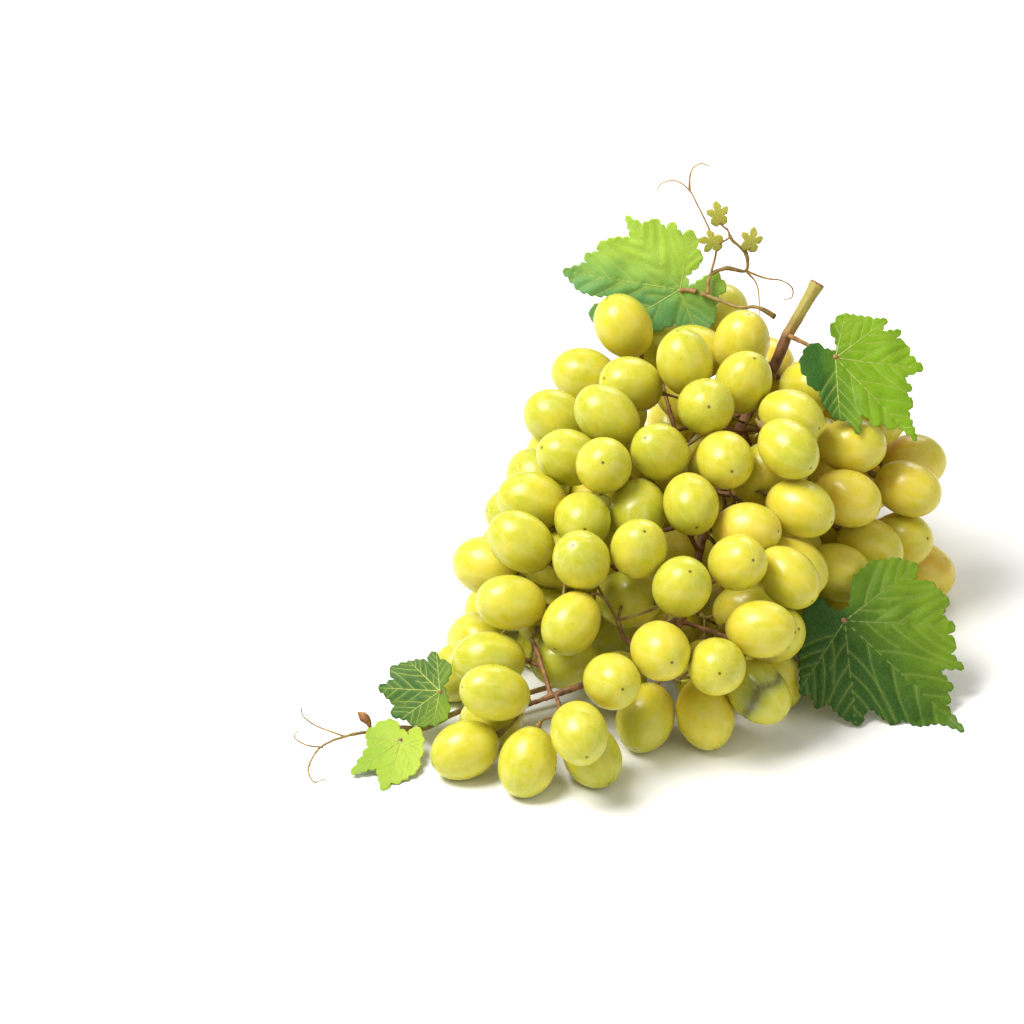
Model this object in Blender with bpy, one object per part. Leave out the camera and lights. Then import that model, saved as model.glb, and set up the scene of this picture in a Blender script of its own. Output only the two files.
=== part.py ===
"""A bunch of white table grapes lying on a flat surface, as cut from the vine with its leaves.

Frame: +Z up, the surface at Z = 0, the rachis running along Y from the cut stem (back, +Y) to the
tip of the bunch (front, -Y). The origin is the middle of the bounding box at surface height.

The layout below is in whole millimetres. It fixes the routes of the stems, the leaves and the
berries that lie on top; the berries of the sides, the back and the underside follow from the
footprint. All berries then settle: each is pushed clear of its neighbours, of the stems and of
the leaves. Three or so berries share one sprig, which branches from the stem skeleton.
"""

import math

import bmesh
import bpy
import numpy as np
from mathutils import Matrix, Vector

MM = 0.001

# ---------------------------------------------------------------- driving dimensions, in metres

BUNCH_WIDTH = 0.178
BUNCH_LENGTH = 0.220
BUNCH_HEIGHT = 0.102

BERRY_DIAMETER = 0.0200
BERRY_LENGTH = 0.0255
BERRY_FLAT = 0.0003  # how deep a berry is pressed flat where it lies on the surface

PEDUNCLE_DIAMETER = 0.0046
RACHIS_TIP_DIAMETER = 0.0022
LATERAL_DIAMETER = 0.0018
PEDICEL_DIAMETER = 0.0014
CANE_DIAMETER = 0.0020
SHOOT_DIAMETER = 0.0016
TENDRIL_DIAMETER = 0.0011
PETIOLE_DIAMETER = 0.0017

LEAF_SCALE = 1.0
LEAF_THICKNESS = 0.0008

CLEARANCE = 0.0003  # between any two neighbouring pieces
MOST_SPRIGS = 44

# ------------------------------------------------------------------------- the layout, in mm

LAYOUT_WIDTH, LAYOUT_LENGTH, LAYOUT_HEIGHT = 178, 220, 102

PEDUNCLE = ((48, 180, 104), (43, 175, 97), (37, 170, 88))
RACHIS = (
    (37, 170, 88), (30, 162, 74), (18, 145, 60), (8, 120, 46), (3, 95, 36),
    (-2, 72, 28), (-12, 52, 24), (-25, 38, 25), (-38, 27, 26), (-52, 24, 22),
)

# Berries seen on top and in front: the centre, and for some the way the blossom end points.
TO_FRONT = (0, -9, 5)
TOP_BERRIES = (
    # the tip, lying on the surface
    ((-58, -1, 11), (0, -5, -9)),
    ((-78, 11, 11), (-9, -2, -2)),
    ((-68, 15, 28), (-10, -1, 1)),
    ((-69, 38, 26), (-9, 1, 4)),
    ((-40, -6, 26), (1, -8, -5)),
    ((-36, 5, 11), (3, -8, -3)),
    ((-30, 16, 34), (2, -8, 1)),
    ((-46, 46, 26), None),
    ((-18, 33, 11), (0, -8, -5)),
    ((3, 30, 13), (0, -6, -8)),
    # the lower right edge
    ((22, 30, 20), (3, -5, -7)),
    ((33, 52, 14), (5, -3, -7)),
    ((7, 21, 38), TO_FRONT),
    ((-11, 29, 40), (5, -9, 1)),
    ((24, 34, 44), (9, -5, -2)),
    # the front slope
    ((-22, 62, 40), (1, -8, 1)),
    ((-44, 39, 46), (0, -6, -6)),
    ((-62, 46, 42), (-9, -5, -4)),
    ((-4, 40, 58), TO_FRONT),
    ((16, 50, 62), (7, -6, 4)),
    ((33, 58, 50), (4, -5, -7)),
    ((40, 75, 42), (5, -4, -7)),
    ((50, 87, 38), (5, -3, -7)),
    ((-39, 51, 62), TO_FRONT),
    ((-19, 53, 66), TO_FRONT),
    ((-60, 68, 60), (-10, -2, 1)),
    ((-71, 81, 42), (-8, 0, -5)),
    ((-55, 89, 32), None),
    ((-35, 75, 66), (3, -7, -4)),
    ((-53, 90, 66), (-9, 3, 5)),
    ((-16, 83, 66), (4, -6, -5)),
    ((2, 84, 68), (0, -6, -7)),
    # the middle and the right side
    ((17, 76, 60), (6, -5, -5)),
    ((21, 101, 60), None),
    ((37, 84, 62), (8, -4, -5)),
    ((57, 106, 56), (8, -3, -5)),
    ((62, 104, 38), (8, -4, -4)),
    ((76, 125, 28), None),
    ((54, 101, 18), None),
    ((79, 125, 46), (10, -1, -1)),
    ((77, 141, 54), (8, 4, 1)),
    ((57, 122, 72), (9, -2, 3)),
    ((68, 137, 62), (7, 3, 3)),
    # the shoulder
    ((39, 120, 78), (8, -4, -5)),
    ((30, 97, 78), (8, -4, -5)),
    ((11, 93, 76), (3, -7, -5)),
    ((-11, 94, 80), (-4, -8, 3)),
    ((-31, 85, 78), TO_FRONT),
    ((-43, 99, 74), (-6, -6, 5)),
    ((7, 109, 88), TO_FRONT),
    ((-30, 115, 84), (-10, -2, 2)),
    ((-47, 132, 74), (-9, 2, 3)),
    ((24, 126, 88), (7, -4, 4)),
    ((-19, 135, 86), (-5, -7, 5)),
    ((-3, 135, 92), (-2, 2, 9)),
    ((-36, 163, 74), (-7, 1, 6)),
    ((-20, 169, 86), (-5, -1, 8)),
    ((19, 157, 90), (5, 3, 8)),
    # behind the cut stem
    ((30, 171, 70), None),
    ((39, 154, 76), None),
    ((-10, 186, 76), None),
    ((4, 170, 80), None),
    ((14, 190, 78), None),
)

# The footprint of the bunch: where the centres of the lowest berries run, counterclockwise.
FOOTPRINT = (
    (-78, 11), (-58, -1), (-37, 4), (-18, 33), (3, 30), (33, 52), (50, 78), (62, 100), (78, 120),
    (76, 145), (60, 165), (40, 182), (15, 195), (-10, 195), (-33, 180), (-48, 158), (-58, 130),
    (-68, 105), (-76, 80), (-74, 60), (-62, 33),
)
# Height of each ring of berries above the surface, and how far it lies inside the footprint.
RINGS = ((11, 0), (11, 22), (11, 44), (32, 2), (53, 9), (72, 22), (32, 24), (53, 30))
# Height of the topmost berries along the bunch, as (Y, Z): the rings stay below them in front.
ROOF = ((0, 26), (30, 40), (55, 62), (80, 70), (110, 86), (150, 90), (165, 100), (200, 100))
ROOF_COVER = 17
RING_PITCH = 20.5
CROWDED = 0.0006  # a ring berry that can't settle closer than this to its room doesn't grow

# Stems that leave the bunch.
CANE_ARCH = ((38, 172, 90), (27, 172, 98), (19, 175, 97), (11, 181, 97), (4, 185, 98))
UPPER_SHOOT = (
    (8, 183, 98), (9, 186, 104), (15, 186, 107), (22, 186, 106), (22, 186, 113), (17, 185, 119), (15, 186, 123),
)
TENDRIL_LEFT = (
    (9, 186, 104), (11, 186, 115), (8, 186, 124), (4, 186, 133), (1, 186, 139), (-4, 186, 143),
    (-9, 186, 142), (-11, 186, 139),
)
TENDRIL_TOP = ((1, 186, 139), (1, 186, 144), (2, 186, 148), (5, 186, 150), (8, 186, 149))
TENDRIL_RIGHT = (
    (22, 186, 106), (29, 186, 103), (35, 186, 102), (39, 186, 99), (39, 186, 95), (36, 186, 94),
)
TENDRIL_DOWN = ((22, 186, 106), (26, 185, 101), (27, 181, 95), (27, 176, 92))
LOW_SHOOT = (
    (-2, 72, 28), (-20, 68, 15), (-42, 60, 8), (-64, 49, 7), (-81, 39, 8), (-94, 32, 5),
    (-103, 33, 4), (-113, 31, 4), (-122, 28, 4), (-131, 22, 3), (-135, 10, 2), (-133, 1, 2),
    (-129, 1, 3),
)
LOW_TENDRIL_OUT = ((-123, 28, 4), (-132, 31, 6), (-137, 31, 10), (-138, 31, 14))
LOW_TENDRIL_FRONT = ((-130, 22, 3), (-136, 22, 4), (-140, 22, 7), (-139, 22, 10))
LOW_BUD = ((-113, 31, 4), (-115, 31, 9), (-118, 31, 12))

# Leaf blades: where the petiole meets the blade, the way the upper face looks, how far the edges
# bend back (a share of the distance squared), and the outline, counterclockwise from the sinus at
# the petiole. Outlines are drawn as the leaf shows from the front and 30 degrees above: millimetres
# to the right and up from the junction. Along that line of sight they are laid on the blade.
LEAF_LOW_RIGHT = dict(
    junction=(55, 64, 30), faces=(14, -70, 70), bend=0.0015,
    outline=(
        (-3, 3), (-6, 5), (-9, 8), (-13, 5), (-15, 1), (-16, -7), (-16, -17), (-16, -26),
        (-12, -25), (-10, -31), (-7, -28), (-1, -34), (5, -37), (8, -30), (17, -37), (20, -35),
        (25, -37), (33, -36), (42, -39), (36, -30), (38, -28), (35, -25), (39, -24), (33, -17),
        (43, -17), (38, -12), (40, -8), (37, -5), (40, -2), (35, 2), (38, 7), (31, 14), (25, 14),
        (27, 20), (19, 22), (10, 21), (3, 15), (2, 5),
    ),
)
LEAF_HIGH_RIGHT = dict(
    junction=(53, 133, 99), faces=(20, -63, 75), bend=0.0015,
    outline=(
        (-4, 3), (-8, 5), (-10, 4), (-12, 1), (-13, -3), (-11, -7), (-9, -11), (-6, -12),
        (-5, -17), (-3, -19), (0, -22), (4, -22), (8, -28), (9, -19), (14, -25), (16, -23),
        (20, -26), (22, -24), (29, -30), (26, -19), (28, -16), (25, -12), (28, -11), (24, -7),
        (32, -4), (27, 1), (26, 5), (22, 7), (24, 10), (16, 9), (19, 14), (14, 14), (11, 15),
        (3, 16), (0, 13), (-2, 11), (0, 7), (1, 2),
    ),
)
LEAF_HIGH_LEFT = dict(
    junction=(-2, 186, 98), faces=(-4, -93, 36), bend=0.0010,
    outline=(
        (2, 5), (7, 9), (8, 13), (6, 15), (6, 19), (3, 22), (1, 19), (-3, 25), (-5, 22),
        (-9, 26), (-14, 24), (-20, 27), (-18, 19), (-24, 19), (-30, 17), (-30, 14), (-35, 13),
        (-34, 10), (-43, 7), (-37, 0), (-31, -2), (-21, -2), (-32, -6), (-33, -10), (-28, -14),
        (-17, -13), (-9, -15), (-2, -12), (1, -14), (6, -18), (10, -15), (13, -11), (13, -6),
        (14, -2), (17, 1), (15, 4), (13, 7), (3, 1),
    ),
)
LEAF_LOW_DARK = dict(
    junction=(-89, 34, 19), faces=(-20, -70, 70), bend=0.0030,
    outline=(
        (1, 2), (3, 5), (4, 7), (3, 10), (0, 11), (-3, 14), (-4, 10), (-7, 11), (-12, 10),
        (-18, 8), (-16, 4), (-22, 1), (-16, -5), (-17, -9), (-12, -10), (-8, -12), (-4, -12),
        (0, -11), (3, -8), (3, -4),
    ),
)
LEAF_LOW_BRIGHT = dict(
    junction=(-103, 20, 7), faces=(0, -29, 96), bend=0.0020,
    outline=(
        (0, 4), (-2, 7), (-5, 7), (-9, 5), (-12, 3), (-11, -2), (-13, -5), (-17, -11),
        (-8, -9), (-6, -17), (-3, -14), (1, -13), (6, -10), (7, -6), (8, -2), (8, 2), (6, 5),
        (3, 2),
    ),
)
PLACED_LEAVES = (LEAF_LOW_RIGHT, LEAF_HIGH_RIGHT, LEAF_HIGH_LEFT, LEAF_LOW_DARK, LEAF_LOW_BRIGHT)

# The three leaves at the shoot's tip share one outline: the tips point away from the shoot.
YOUNG_OUTLINE = (
    (-2, -1), (-3, 1), (-2, 2), (-4, 5), (-1, 4), (0, 8), (1, 4), (4, 5), (2, 2), (3, 1),
    (2, -1), (0, -1),
)
YOUNG_LEAVES = (
    dict(junction=(12, 186, 126), faces=(-10, -90, 20), bend=0.01, turn=10),
    dict(junction=(12, 183, 119), faces=(0, -90, 30), bend=0.01, turn=80),
    dict(junction=(23, 183, 117), faces=(10, -90, 30), bend=0.01, turn=-15),
)
PETIOLE_LOW_RIGHT = ((3, 92, 35), (20, 90, 31), (38, 82, 27), (48, 72, 27), (55, 64, 30))
PETIOLE_HIGH_LEFT = ((4, 185, 98), (1, 186, 98), (-2, 186, 98))
PETIOLE_HIGH_RIGHT = ((37, 170, 88), (43, 158, 91), (47, 147, 94), (53, 133, 99))

# --------------------------------------------------------------------------------- materials

COLOURS = {
    "berry skin": ((0.62, 0.60, 0.08), 0.35),
    "woody stem": ((0.30, 0.15, 0.05), 0.70),
    "green cane": ((0.38, 0.30, 0.08), 0.60),
    "leaf": ((0.10, 0.26, 0.03), 0.50),
    "young leaf": ((0.38, 0.48, 0.06), 0.50),
}


def material(name):
    found = bpy.data.materials.get(name)
    if found:
        return found
    colour, roughness = COLOURS[name]
    made = bpy.data.materials.new(name)
    made.use_nodes = True
    shader = made.node_tree.nodes["Principled BSDF"]
    shader.inputs["Base Color"].default_value = (*colour, 1)
    shader.inputs["Roughness"].default_value = roughness
    shader.inputs["Metallic"].default_value = 0
    return made


# ------------------------------------------------------------------------------ small helpers

STRETCH = np.array((
    BUNCH_WIDTH / LAYOUT_WIDTH, BUNCH_LENGTH / LAYOUT_LENGTH, BUNCH_HEIGHT / LAYOUT_HEIGHT,
))


def place(points):
    """Layout millimetres to metres, stretched to the driving width, length and height."""
    return np.array(points, float) * STRETCH


def unit(vectors):
    return vectors / np.maximum(np.linalg.norm(vectors, axis=-1, keepdims=True), 1e-12)


def smooth_route(points, steps):
    """A Catmull-Rom curve through the points, with this many steps between two of them."""
    ends = np.vstack((2 * points[0] - points[1], points, 2 * points[-1] - points[-2]))
    shares = np.linspace(0, 1, steps, endpoint=False)[:, None]
    runs = []
    for a, b, c, d in zip(ends, ends[1:], ends[2:], ends[3:]):
        bend = 2 * a - 5 * b + 4 * c - d
        twist = 3 * b - a - 3 * c + d
        runs.append(b + 0.5 * shares * (c - a + shares * (bend + shares * twist)))
    return np.vstack(runs + [points[-1:]])


def nearest_on_route(point, route):
    """The nearest point of a polyline, and how far along it lies, in steps."""
    starts, spans = route[:-1], np.diff(route, axis=0)
    shares = np.einsum("ij,ij->i", point - starts, spans) / np.einsum("ij,ij->i", spans, spans)
    shares = np.clip(shares, 0, 1)
    spots = starts + shares[:, None] * spans
    best = int(np.argmin(np.linalg.norm(spots - point, axis=1)))
    return spots[best], best + shares[best]


def point_along(route, steps):
    steps = min(max(steps, 0), len(route) - 1)
    whole = min(int(steps), len(route) - 2)
    return route[whole] + (steps - whole) * (route[whole + 1] - route[whole])


# -------------------------------------------------------------------------- settling the berries

ACROSS = BERRY_DIAMETER / 2
ALONG = BERRY_LENGTH / 2
MEAN_RADIUS = (2 * ACROSS + ALONG) / 3


def reach(axes, ways):
    """How far a berry of this axis reaches from its centre along a direction."""
    shares = np.einsum("...i,...i->...", axes, ways) ** 2
    return np.sqrt(ACROSS**2 * (1 - shares) + ALONG**2 * shares)


class Stems:
    """Straight lengths of stem with a radius, which berries stay clear of."""

    def __init__(self):
        self.starts, self.ends, self.radii, self.owners = [], [], [], []

    def add(self, route, radius, owner=-1):
        for start, end in zip(route, route[1:]):
            self.starts.append(start)
            self.ends.append(end)
            self.radii.append(radius)
            self.owners.append(owner)

    def pushes(self, centres, axes, sprigs):
        """The shift that takes each berry clear of the stems that aren't its own sprig's."""
        starts, spans = np.array(self.starts), np.array(self.ends) - np.array(self.starts)
        along = np.einsum("bsi,si->bs", centres[:, None] - starts, spans)
        shares = np.clip(along / np.maximum(np.einsum("si,si->s", spans, spans), 1e-12), 0, 1)
        away = centres[:, None] - (starts + shares[..., None] * spans)
        apart = np.linalg.norm(away, axis=2)
        ways = away / np.maximum(apart, 1e-9)[..., None]
        needed = reach(axes[:, None], ways) + np.array(self.radii) + 2 * CLEARANCE
        short = np.clip(needed - apart, 0, None)
        short[sprigs[:, None] == np.array(self.owners)] = 0
        return (short[..., None] * ways).sum(axis=1) / np.maximum((short > 0).sum(axis=1), 1)[:, None]


def berry_pushes(centres, axes, ease):
    """The shift that parts overlapping berries, and how much of it each one takes."""
    between = centres[:, None] - centres
    apart = np.linalg.norm(between, axis=2)
    ways = between / np.maximum(apart, 1e-9)[..., None]
    needed = reach(axes[:, None], ways) + reach(axes[None], ways) + CLEARANCE
    short = np.clip(needed - apart, 0, None)
    np.fill_diagonal(short, 0)
    share = ease[:, None] / (ease[:, None] + ease)
    return (short * share)[..., None] * ways, short.max()


def fixed_stems():
    stems = Stems()
    stems.add(place(PEDUNCLE), PEDUNCLE_DIAMETER / 2)
    stems.add(place(RACHIS), STEM_ROOM)
    stems.add(place(CANE_ARCH), CANE_DIAMETER / 2)
    stems.add(place(LOW_SHOOT), CANE_DIAMETER / 2)
    stems.add(place(TENDRIL_DOWN), TENDRIL_DIAMETER / 2)
    stems.add(place(PETIOLE_LOW_RIGHT), PETIOLE_DIAMETER / 2)
    stems.add(place(PETIOLE_HIGH_RIGHT), PETIOLE_DIAMETER / 2)
    for leaf in PLACED_LEAVES:
        for spot in leaf_spots(leaf):
            stems.add((spot, spot + (0, 0, 1e-5)), 1.5 * LEAF_THICKNESS)
    return stems


def ring_spots():
    """Where the berries of the sides, the back and the underside may go."""
    outline = place([(x, y, 0) for x, y in FOOTPRINT])
    closed = np.vstack((outline, outline[:1]))
    lengths = np.linalg.norm(np.diff(closed, axis=0), axis=1)
    travelled = np.concatenate(([0], np.cumsum(lengths)))
    tangents = unit(np.roll(outline, -1, axis=0) - np.roll(outline, 1, axis=0))
    inward = np.stack((-tangents[:, 1], tangents[:, 0], tangents[:, 2]), axis=1)
    inward = np.vstack((inward, inward[:1]))
    roof_y, roof_z = place([(0, y, z) for y, z in ROOF]).T[1:]
    spots = []
    for ring, (height, inset) in enumerate(RINGS):
        count = int(travelled[-1] / (RING_PITCH * MM))
        for step in range(count):
            reached = (step + 0.5 * (ring % 2)) / count * travelled[-1]
            spot = np.array([np.interp(reached, travelled, closed[:, k]) for k in range(3)])
            turned = np.array([np.interp(reached, travelled, inward[:, k]) for k in range(3)])
            spot += inset * MM * unit(turned)
            spot[2] = height * STRETCH[2]
            if spot[2] < np.interp(spot[1], roof_y, roof_z) - ROOF_COVER * MM:
                spots.append(spot)
    return spots


def berry_layout(rachis):
    """Centres and leaning directions, and how easily each berry gives way."""
    centres = [place(centre) for centre, _ in TOP_BERRIES]
    leans = [np.zeros(3) if lean is None else unit(np.array(lean, float)) for _, lean in TOP_BERRIES]
    low_shoot = smooth_route(place(LOW_SHOOT), 4)
    for spot in ring_spots():
        near = min(np.linalg.norm(spot - centre) for centre in centres)
        trunk = np.linalg.norm(spot - nearest_on_route(spot, rachis)[0])
        shoot = np.linalg.norm(spot - nearest_on_route(spot, low_shoot)[0])
        if near > 1.56 * MEAN_RADIUS and trunk > 1.6 * MEAN_RADIUS and shoot > 0.8 * MEAN_RADIUS:
            centres.append(spot)
            leans.append(np.zeros(3))
    ease = np.full(len(centres), 1.0)
    ease[:len(TOP_BERRIES)] = 0.25
    return np.array(centres), np.array(leans), ease


def outward(centres, rachis):
    """The way from the rachis, a little nearer the cut stem, to each point."""
    ways = []
    for centre in centres:
        _, steps = nearest_on_route(centre, rachis)
        ways.append(centre - point_along(rachis, steps - 0.6))
    return unit(np.array(ways))


def share_into_sprigs(centres):
    """Which sprig each berry hangs on: seeds spread far apart, then the nearest with room."""
    seeds = [0]
    nearest = np.linalg.norm(centres - centres[0], axis=1)
    while len(seeds) < min(MOST_SPRIGS, len(centres)):
        seeds.append(int(np.argmax(nearest)))
        nearest = np.minimum(nearest, np.linalg.norm(centres - centres[seeds[-1]], axis=1))
    room = math.ceil(len(centres) / len(seeds))
    apart = np.linalg.norm(centres[:, None] - centres[seeds], axis=2)
    sprigs = np.full(len(centres), -1)
    for berry, sprig in sorted(np.ndindex(apart.shape), key=lambda pair: apart[pair]):
        if sprigs[berry] < 0 and (sprigs == sprig).sum() < room:
            sprigs[berry] = sprig
    for _ in range(3):
        exchange(centres, sprigs)
    return sprigs


def exchange(centres, sprigs):
    """Let two berries change places where that makes both sprigs more compact."""
    for first, second in np.ndindex(len(centres), len(centres)):
        if sprigs[first] == sprigs[second]:
            continue
        before = spread(centres, sprigs, sprigs[first]) + spread(centres, sprigs, sprigs[second])
        sprigs[first], sprigs[second] = sprigs[second], sprigs[first]
        after = spread(centres, sprigs, sprigs[first]) + spread(centres, sprigs, sprigs[second])
        if after >= before - 1e-9:
            sprigs[first], sprigs[second] = sprigs[second], sprigs[first]


def spread(centres, sprigs, sprig):
    mine = centres[sprigs == sprig]
    return ((mine - mine.mean(axis=0)) ** 2).sum()


def settle(centres, ease, axes, stems, sprigs, rounds, hold):
    """Part the berries step by step, with a pull back to their places that fades out."""
    homes = centres.copy()
    for turn in range(rounds):
        shifts, _ = berry_pushes(centres, axes, ease)
        centres = centres + 0.45 * shifts.sum(axis=1)
        centres += 0.8 * stems.pushes(centres, axes, sprigs)
        centres += hold * max(0, 1 - 1.4 * turn / rounds) * (homes - centres)
        lowest = reach(axes, np.array((0, 0, 1.0))) - BERRY_FLAT
        centres[:, 2] = np.maximum(centres[:, 2], lowest)
    return centres


# ---------------------------------------------------------------------------- growing the stems

STEM_ROOM = 0.006  # round the middle of the rachis, for the laterals to start in
PEDICEL_LENGTH = 0.0035  # the shortest one
RACHIS_ROOM = 0.004  # between the middle of the rachis and a sprig's base
BASE_DEPTH = ALONG + 0.0035  # from the middle of a sprig's berries in to its base
SPUR = 0.005  # the straight end of a lateral, in line with the sprig
STEM_POINTS = 8  # fewer points than the shortest stem has
LEAF_ROOM = 0.005  # between a lateral and a leaf, an outer stem or another sprig's fork
BASE_ROOM = 0.008  # between two sprigs' bases
FORK = 0.0018  # from the sprig's base to where its pedicels part
LEAN = 1.3  # how much a berry's own lean counts beside the way from its fork


def outer_spots():
    """Points all over the leaves and along the outer stems, for the laterals to stay clear of."""
    spots = [spot for leaf in PLACED_LEAVES for spot in leaf_spots(leaf)]
    for route in (PETIOLE_LOW_RIGHT, PETIOLE_HIGH_RIGHT, CANE_ARCH, LOW_SHOOT, TENDRIL_DOWN):
        spots += list(smooth_route(place(route), 8)[4:])
    return np.array(spots)


def part_bases(bases):
    """Move sprigs' bases that are too near each other apart."""
    between = bases[:, None] - bases
    apart = np.linalg.norm(between, axis=2) + np.eye(len(bases))
    short = np.clip(BASE_ROOM - apart, 0, None) * (1 - np.eye(len(bases)))
    return bases + 0.5 * (short[..., None] * between / apart[..., None]).sum(axis=1)


def sprig_bases(centres, sprigs, rachis):
    blades = outer_spots()
    bases, ways = [], []
    for sprig in range(sprigs.max() + 1):
        middle = centres[sprigs == sprig].mean(axis=0)
        way = outward(middle[None], rachis)[0]
        far = np.linalg.norm(middle - nearest_on_route(middle, rachis)[0])
        alone = (sprigs == sprig).sum() == 1
        depth = ALONG + FORK + PEDICEL_LENGTH if alone else min(BASE_DEPTH, far - RACHIS_ROOM)
        base = middle - depth * way
        base[2] = max(base[2], 0.004)
        blade = min(blades, key=lambda spot: np.linalg.norm(base - spot))
        if np.linalg.norm(base - blade) < LEAF_ROOM:
            base = blade + LEAF_ROOM * unit(base - blade)
        bases.append(base)
        ways.append(way)
    bases = np.array(bases)
    for _ in range(8):
        bases = part_bases(bases)
    return bases, np.array(ways)


def crossing_cost(start, end, centres, blocked):
    """How deep a straight stem would cut into the berries, and into the room of other spots."""
    spots = start + np.linspace(0, 1, 9)[:, None] * (end - start)
    berries = np.linalg.norm(centres[:, None] - spots, axis=2)
    others = np.linalg.norm(blocked[:, None] - spots, axis=2)
    return (
        np.clip(MEAN_RADIUS + LATERAL_DIAMETER - berries, 0, None).sum()
        + np.clip(LEAF_ROOM - others, 0, None).sum()
    )


def grow_tree(bases, ways, centres, rachis):
    """Where each sprig's lateral starts: its parent (-1 is the rachis) and how far along it.

    The sprigs nearest the rachis are joined first, so that a parent comes before its children.
    """
    reachable = [(-1, steps) for steps in np.arange(0.5, len(rachis) - 1, 1 / 3)]
    order = np.argsort([np.linalg.norm(base - nearest_on_route(base, rachis)[0]) for base in bases])
    spots = outer_spots()
    tree, laterals = [], [None] * len(bases)
    for sprig in order:
        knee = bases[sprig] - SPUR * ways[sprig]
        forks = np.delete(bases + 2 * FORK * ways, sprig, axis=0)
        blocked = np.vstack((spots, forks))
        starts = [lateral_start(parent, along, rachis, laterals) for parent, along in reachable]
        costs = [
            np.linalg.norm(knee - start) + 6 * crossing_cost(start, knee, centres, blocked)
            for start in starts
        ]
        best = int(np.argmin(costs))
        laterals[sprig] = np.array((starts[best], knee, bases[sprig]))
        tree.append((sprig, *reachable.pop(best)))
        reachable += [(sprig, 0.35), (sprig, 0.7)]
    return tree


def lateral_start(parent, along, rachis, laterals):
    return point_along(rachis if parent < 0 else laterals[parent], along)


def lateral_routes(tree, bases, ways, rachis):
    """Each lateral: from its parent to a knee, then straight out to the sprig's base."""
    laterals = [None] * len(bases)
    for sprig, parent, along in tree:
        start = lateral_start(parent, along, rachis, laterals)
        knee = bases[sprig] - SPUR * ways[sprig]
        laterals[sprig] = np.array((start, knee, bases[sprig]))
    return laterals


def pedicel_route(base, way, centre, axis):
    """From the fork of a sprig to just inside the stem end of one berry."""
    pole = centre - (ALONG - 0.0012) * axis
    return np.array((base + FORK * way, pole))


def berry_axes(centres, leans, bases, ways, sprigs):
    """Each berry points away from its sprig's fork, turned towards its own lean."""
    free = unit(centres - (bases + FORK * ways)[sprigs])
    return unit(free + LEAN * leans)


def grow_bunch():
    rachis = smooth_route(place(RACHIS), 3)
    centres, leans, ease = berry_layout(rachis)
    stems = fixed_stems()
    nobody = np.full(len(centres), -2)
    axes = unit(outward(centres, rachis) + LEAN * leans)
    centres = settle(centres, ease, axes, stems, nobody, 120, 0.2)
    while True:
        crowding = berry_pushes(centres, axes, ease)[0].sum(axis=1)
        crowding = np.linalg.norm(crowding, axis=1) + np.linalg.norm(
            stems.pushes(centres, axes, nobody), axis=1
        )
        crowding[:len(TOP_BERRIES)] = 0
        worst = int(np.argmax(crowding))
        if crowding[worst] < CROWDED:
            break
        centres, leans, ease, axes, nobody = (
            np.delete(values, worst, axis=0) for values in (centres, leans, ease, axes, nobody)
        )
        centres = settle(centres, ease, axes, stems, nobody, 25, 0.05)
    sprigs = share_into_sprigs(centres)
    for rounds in (60, 60, 60, 200):
        bases, ways = sprig_bases(centres, sprigs, rachis)
        axes = berry_axes(centres, leans, bases, ways, sprigs)
        if rounds == 60:
            tree = grow_tree(bases, ways, centres, rachis)
        laterals = lateral_routes(tree, bases, ways, rachis)
        stems = fixed_stems()
        for sprig, lateral in enumerate(laterals):
            stems.add(lateral, LATERAL_DIAMETER / 2)
            fork = bases[sprig] + FORK * ways[sprig]
            stems.add((fork, fork + (0, 0, 1e-5)), PEDICEL_LENGTH - 2 * CLEARANCE)
            for berry in np.flatnonzero(sprigs == sprig):
                route = pedicel_route(bases[sprig], ways[sprig], centres[berry], axes[berry])
                stems.add(route[:2], PEDICEL_DIAMETER / 2, sprig)
        centres = settle(centres, ease, axes, stems, sprigs, rounds, 0.1)
    return rachis, centres, axes, sprigs, bases, ways, laterals


# ------------------------------------------------------------------------------------- leaves

SIGHT = np.array((0, math.cos(math.radians(30)), -math.sin(math.radians(30))))
SIGHT_UP = np.array((0, math.sin(math.radians(30)), math.cos(math.radians(30))))


def leaf_outline(leaf):
    if "outline" in leaf:
        return np.array(leaf["outline"], float)
    turn = math.radians(leaf["turn"])
    spin = np.array(((math.cos(turn), math.sin(turn)), (-math.sin(turn), math.cos(turn))))
    return np.array(YOUNG_OUTLINE, float) @ spin


def leaf_point(leaf, right, up):
    """A point of the blade's middle surface, from its place on the drawing."""
    faces = unit(np.array(leaf["faces"], float))
    back = -(right * faces[0] + up * (faces @ SIGHT_UP)) / (faces @ SIGHT)
    back += leaf["bend"] * (right**2 + up**2)
    offset = np.array((right, 0, 0)) + up * SIGHT_UP + back * SIGHT
    point = place(leaf["junction"]) + offset * MM * LEAF_SCALE
    sunk = max(0, 0.75 * LEAF_THICKNESS - point[2])
    return point + sunk / SIGHT[2] * SIGHT


def leaf_spots(leaf):
    """Points all over the blade, for the berries to stay clear of."""
    outline = leaf_outline(leaf)
    middles = (outline + np.roll(outline, -1, axis=0)) / 2
    rim = [tuple(point) for point in np.vstack((outline, middles))]
    return [leaf_point(leaf, share * x, share * y) for x, y in rim for share in (0.2, 0.4, 0.6, 0.8, 1)]


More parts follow.
